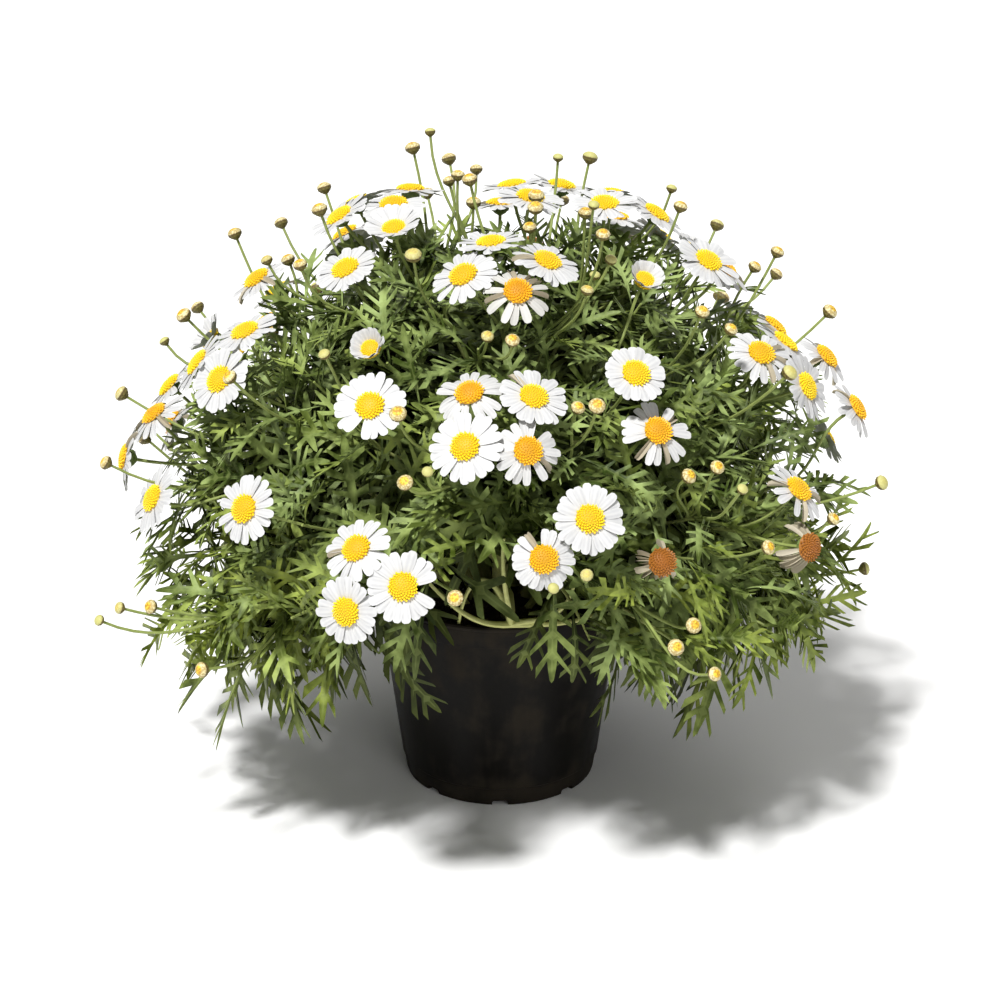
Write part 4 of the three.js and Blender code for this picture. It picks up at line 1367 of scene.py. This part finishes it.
def add_twig_buds():
    """Small groups of buds of all ages, on twigs all over the dome and most of them near its top."""
    for k in range(BUD_GROUPS):
        n = BUD_GROUP_DRAWS + 40 * k
        lean = BUD_LEAN * (k + 0.5) / BUD_GROUPS
        outward = heading(lean, math.degrees(k * GOLDEN_ANGLE) + 40)
        twig = twig_towards(outward)
        start, leave = twig["run"].at(0.8), twig["run"].along(0.9)
        for j in range(1 + int(3 * draw(n))):
            m = n + 10 + 9 * j
            aside = heading(90, 360 * draw(m)) * (0.006 + 0.016 * draw(m + 1))
            centre = CROWN + outward * (BLOOM_SHELL - 0.004 + 0.026 * draw(m + 2)) + aside
            facing = (outward + UP * 0.45 + heading(90, 360 * draw(m + 3)) * 0.2).normalized()
            run = stalk_run(start, leave, centre, facing)
            way = np.array([run.at(t) for t in (0.5, 0.7, 0.85, 0.95, 1.0)])
            apart = all((centre - tip_of(bud)).length > BUDS_APART for bud in buds)
            if apart and clear_of_blooms(way, 0.012):
                ripe = draw(m + 4)
                add_bud(twig["branch"], run, facing, BUD_RADIUS * (0.7 + 0.36 * ripe), ripe)


def grow_buds(b):
    """One branch's buds and the stalks that carry them."""
    growth = Growth()
    runs = []
    height = bud_shape["points"][:, 2] * 0.5 + 0.5
    for k, bud in enumerate(buds):
        if bud["branch"] == b:
            centre = tip_of(bud) + bud["facing"] * (0.75 * bud["size"])
            points = set_on(bud_shape, centre, bud["facing"], bud["size"], draw(k))
            growth.add(bud_shape, points, height, bud_shape["edge"], bud["ripe"])
            runs.append((bud["run"].points(STALK_STEPS), BUD_STALK_RADIUS, BUD_STALK_RADIUS * 0.85))
    return growth.piece(f"buds_{b + 1}"), grow_tubes(f"bud_stalks_{b + 1}", runs)


def bud_finish():
    finish = Finish("bud_scales", 0.5)
    height = finish.grown("X")
    grain = finish.noise(900.0)
    ripe = finish.ramp(finish.grown("Z"), 0.1, 0.5)
    scale = finish.mix(grain, (0.07, 0.062, 0.012), (0.26, 0.215, 0.055))
    edges = finish.ramp(finish.grown("Y"), 0.3, 1.0) * 0.85
    edged = finish.mix(edges, scale, (0.075, 0.03, 0.008))
    tipped = finish.mix(finish.ramp(height, 0.4, 0.52) * 0.75, edged, (0.08, 0.04, 0.01))
    flecks = finish.ramp(grain, 0.4, 0.62)
    ring = finish.mix(flecks, (0.46, 0.34, 0.12), (0.74, 0.67, 0.37))
    button = finish.mix(flecks, (0.5, 0.25, 0.015), (0.85, 0.6, 0.05))
    top = finish.mix(finish.ramp(height + grain * 0.08, 0.79, 0.84), ring, button)
    unripe = finish.mix(ripe, (0.52, 0.5, 0.17), top)
    finish.colour(finish.mix(finish.ramp(height + grain * 0.08, 0.55, 0.63), tipped, unripe))
    finish.bump(finish.noise(1600.0), 0.0003)
    return finish.material


bud_shape = model_bud()
buds = []
add_shoot_buds()
add_twig_buds()
bud_scale = bud_finish()
for b in range(BRANCHES):
    heads, stalks = grow_buds(b)
    settle(heads, bud_scale, 50)
    settle(stalks, green_stem, 60)


# The petals: about twenty white strap-shaped rays round each head, with two fine furrows and a blunt,
# notched tip. Young ones lie flat, old ones droop, fade and leave gaps, and some shrivel and turn brown.
PETALS = 20
PETAL_DRAWS = 12000
PETAL_WIDTH = 0.0058
PETAL_ROOT = 0.0035
PETAL_THICKNESS = 0.03
FURROW_DEPTH = 0.022
# A petal's widths from its root to its tip, as shares of the widest
PETAL_WIDTHS = [0.42, 0.66, 0.84, 0.96, 1.0, 0.8]
# Some petals of old heads shrivel: they have the colour of this age, and are narrower and more bent
SHRIVELLED_SHARE = 0.24
SHRIVELLED_AGE = 1.6
SHRIVELLED = {"width": 0.7, "bend": 0.35, "fold": 0.3, "twist": 0.8}
FIRM = {"width": 1, "bend": 0, "fold": 0, "twist": 0.25}


def model_petal():
    """A strap a unit long and half a unit to each side, with two furrows and a notched tip."""
    rows = len(PETAL_WIDTHS) - 1
    deselect_all()
    bpy.ops.mesh.primitive_grid_add(x_subdivisions=rows, y_subdivisions=4, size=1, location=(0.5, 0, 0))
    petal = bpy.context.object
    bpy.ops.object.transform_apply(location=True)
    for row, width in enumerate(PETAL_WIDTHS):
        x = row / rows
        select_by_place(petal, lambda place: abs(place.x - x) < 1e-3)
        bpy.ops.transform.resize(value=(1, width, 1), center_override=(x, 0, 0))
    select_by_place(petal, lambda place: place.x > 0.99 and 0.1 < abs(place.y) < 0.2)
    bpy.ops.transform.translate(value=(-0.035, 0, 0))
    select_by_place(petal, lambda place: place.x > 0.99 and abs(place.y) > 0.25)
    bpy.ops.transform.translate(value=(-0.055, 0, 0))
    shape = close_blade(petal, PETAL_THICKNESS)
    x, y, z = shape["points"].T
    furrow = (np.abs(y) > 0.1) & (np.abs(y) < 0.3) & (x > 0.05) & (x < 0.95)
    shape["points"][:, 2] -= np.where(furrow, FURROW_DEPTH, 0)
    shape["furrow"] = np.where(furrow, 1.0, 0.0)
    return shape


def grow_petals(name, group):
    growth = Growth()
    for bloom in group:
        n = PETAL_DRAWS + 400 * bloom["number"]
        side, other = frame_round(bloom["facing"], 2 * math.pi * draw(n))
        facing = np.array(bloom["facing"])
        age = bloom["age"]
        count = PETALS + int(spread(n + 1, 5))
        for k in range(count):
            m = n + 2 + 9 * k
            if draw(m) < 0.2 * age**2:
                continue
            turn = 2 * math.pi * (k + spread(m + 1, 0.3)) / count
            radial = side * math.cos(turn) + other * math.sin(turn)
            lift = math.radians(10 + 62 * (1 - bloom["open"]) - 26 * age**2 + spread(m + 2, 10))
            along = radial * math.cos(lift) + facing * math.sin(lift)
            face = facing * math.cos(lift) - radial * math.sin(lift)
            tilt = 0.1 * (1 if k % 2 else -1) + spread(m + 3, 0.2)
            face = unit(face + np.cross(along, face) * tilt)
            root = np.array(bloom["centre"]) + radial * PETAL_ROOT + facing * (0.0006 + 0.0003 * (k % 2))
            length = (bloom["radius"] - PETAL_ROOT) * (1 + spread(m + 4, 0.1))
            width = PETAL_WIDTH / length * (1 + spread(m + 5, 0.16) - 0.26 * age)
            width *= 0.7 + 0.3 * bloom["open"]
            petal_age, state = age, FIRM
            if draw(m + 0.5) < SHRIVELLED_SHARE * age**3:
                petal_age, state = SHRIVELLED_AGE, SHRIVELLED
            points = bent_copy(
                petal_shape, root, along, face, length,
                width=width * state["width"],
                bend=0.22 + 0.5 * age * draw(m + 6) + spread(m + 7, 0.2) + state["bend"],
                fold=-0.04 + 0.1 * age + state["fold"],
                twist=spread(m + 8, state["twist"]),
                sag=0.0,
            )
            growth.add(petal_shape, points, petal_shape["points"][:, 0], petal_shape["furrow"], petal_age)
    return growth.piece(name)


def petal_finish():
    finish = Finish("white_petals", 0.55)
    root = 1 - finish.ramp(finish.grown("X"), 0.1, 0.4)
    white = finish.mix(finish.noise(400.0), (0.57, 0.57, 0.56), (0.65, 0.65, 0.645))
    # Painted shade: the two furrows of each petal are greyer, for the shade that falls in them.
    painted_furrow_shade = finish.mix(finish.grown("Y") * 0.5, white, (0.42, 0.42, 0.44))
    age = finish.grown("Z")
    faded = finish.mix(finish.ramp(age, 0.7, 1.0) * 0.6, painted_furrow_shade, (0.47, 0.44, 0.34))
    withered = finish.mix(finish.ramp(age, 1.05, 1.5) * 0.85, faded, (0.4, 0.345, 0.24))
    finish.colour(finish.mix(root * 0.3, withered, (0.58, 0.6, 0.36)))
    finish.bump(finish.noise(1200.0), 0.0001, 0.5)
    return finish.material


# The blooms of each flowering shoot make a cluster, and those that stand alone go by their branch
flowering = [shoot for shoot in shoots if shoot["blooms"]]
clusters = [[bloom for bloom in blooms if bloom["shoot"] == shoot["number"]] for shoot in flowering]
lone_blooms = [bloom for bloom in blooms if bloom["shoot"] is None]
lone_groups = [[bloom for bloom in lone_blooms if bloom["branch"] == b] for b in range(BRANCHES)]

petal_shape = model_petal()
white_petal = petal_finish()
for number, cluster in enumerate(clusters, 1):
    petals = grow_petals(f"petals_{number:02d}", cluster)
    settle(petals, white_petal, 50)
    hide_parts(f"rays_{number:02d}")
for number, group in enumerate(lone_groups, 1):
    settle(grow_petals(f"petals_lone_{number}", group), white_petal, 50)


# The discs: low domes packed with tiny tubular florets in spirals, lemon yellow when young, deep
# orange when old and rust brown when withered, with the innermost still closed.
DISC_RADIUS = 0.0076
DISC_HEIGHT = 0.0046
FLORETS = 110


def model_dome():
    """The upper half of a ball a unit in radius, closed below."""
    deselect_all()
    bpy.ops.mesh.primitive_uv_sphere_add(segments=16, ring_count=8, radius=1)
    dome = bpy.context.object
    bpy.ops.object.mode_set(mode="EDIT")
    bpy.ops.mesh.bisect(plane_co=(0, 0, 0), plane_no=(0, 0, 1), clear_inner=True, use_fill=True)
    return shape_of(dome)


def model_floret():
    """A little knob with five sides, which narrows to its foot and closes in a low point."""
    deselect_all()
    bpy.ops.mesh.primitive_cone_add(vertices=5, radius1=1, radius2=0, depth=1.4, location=(0, 0, 0.7))
    floret = bpy.context.object
    bpy.ops.object.transform_apply(location=True)
    bpy.ops.object.mode_set(mode="EDIT")
    bpy.ops.mesh.select_all(action="SELECT")
    bpy.ops.mesh.poke()
    return shape_of(floret)


def grow_florets(name, group):
    growth = Growth()
    for bloom in group:
        facing = np.array(bloom["facing"])
        side, other = frame_round(bloom["facing"], 0.0)
        centre = np.array(bloom["centre"]) + facing * 0.001
        wide = DISC_RADIUS * (0.72 + 0.28 * bloom["open"])
        high = DISC_HEIGHT * (0.8 + 0.25 * bloom["age"])
        x, y, z = (dome_shape["points"] * np.array((wide * 0.95, wide * 0.95, high * 0.8))).T
        points = centre + np.outer(x, side) + np.outer(y, other) + np.outer(z, facing)
        reach = np.hypot(dome_shape["points"][:, 0], dome_shape["points"][:, 1])
        growth.add(dome_shape, points, reach, 0, bloom["age"])
        for k in range(FLORETS):
            share = math.sqrt((k + 0.5) / FLORETS)
            turn = k * GOLDEN_ANGLE
            slope = math.sqrt(max(0.0, 1 - share**2 * 0.96))
            radial = side * math.cos(turn) + other * math.sin(turn)
            place = centre + radial * (wide * share) + facing * (high * 0.8 * slope)
            way = unit(facing + radial * (1.1 * share**2))
            size = 0.085 * wide * (0.75 + 0.45 * share)
            growth.add(floret_shape, set_on(floret_shape, place, way, size, turn), share, 1, bloom["age"])
    return growth.piece(name)


def disc_finish():
    finish = Finish("disc_florets", 0.6)
    share = finish.grown("X")
    age = finish.grown("Z")
    young = finish.mix(finish.ramp(share, 0.2, 0.9), (0.82, 0.6, 0.01), (0.95, 0.68, 0.006))
    old = finish.mix(finish.ramp(share, 0.2, 0.8), (0.66, 0.27, 0.006), (0.92, 0.44, 0.005))
    floret = finish.mix(finish.ramp(age, 0.3, 1.0), young, old)
    shaded = finish.mix((1 - finish.grown("Y")) * 0.6, floret, (0.5, 0.25, 0.006))
    finish.colour(finish.mix(finish.ramp(age, 1.05, 1.4) * 0.9, shaded, (0.3, 0.095, 0.01)))
    return finish.material


dome_shape = model_dome()
floret_shape = model_floret()
yellow_disc = disc_finish()
for number, cluster in enumerate(clusters, 1):
    florets = grow_florets(f"florets_{number:02d}", cluster)
    settle(florets, yellow_disc, 60)
    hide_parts(*[f"disc_{bloom['number']:02d}" for bloom in cluster])
for number, group in enumerate(lone_groups, 1):
    settle(grow_florets(f"florets_lone_{number}", group), yellow_disc, 60)

deselect_all()
bpy.context.view_layer.update()
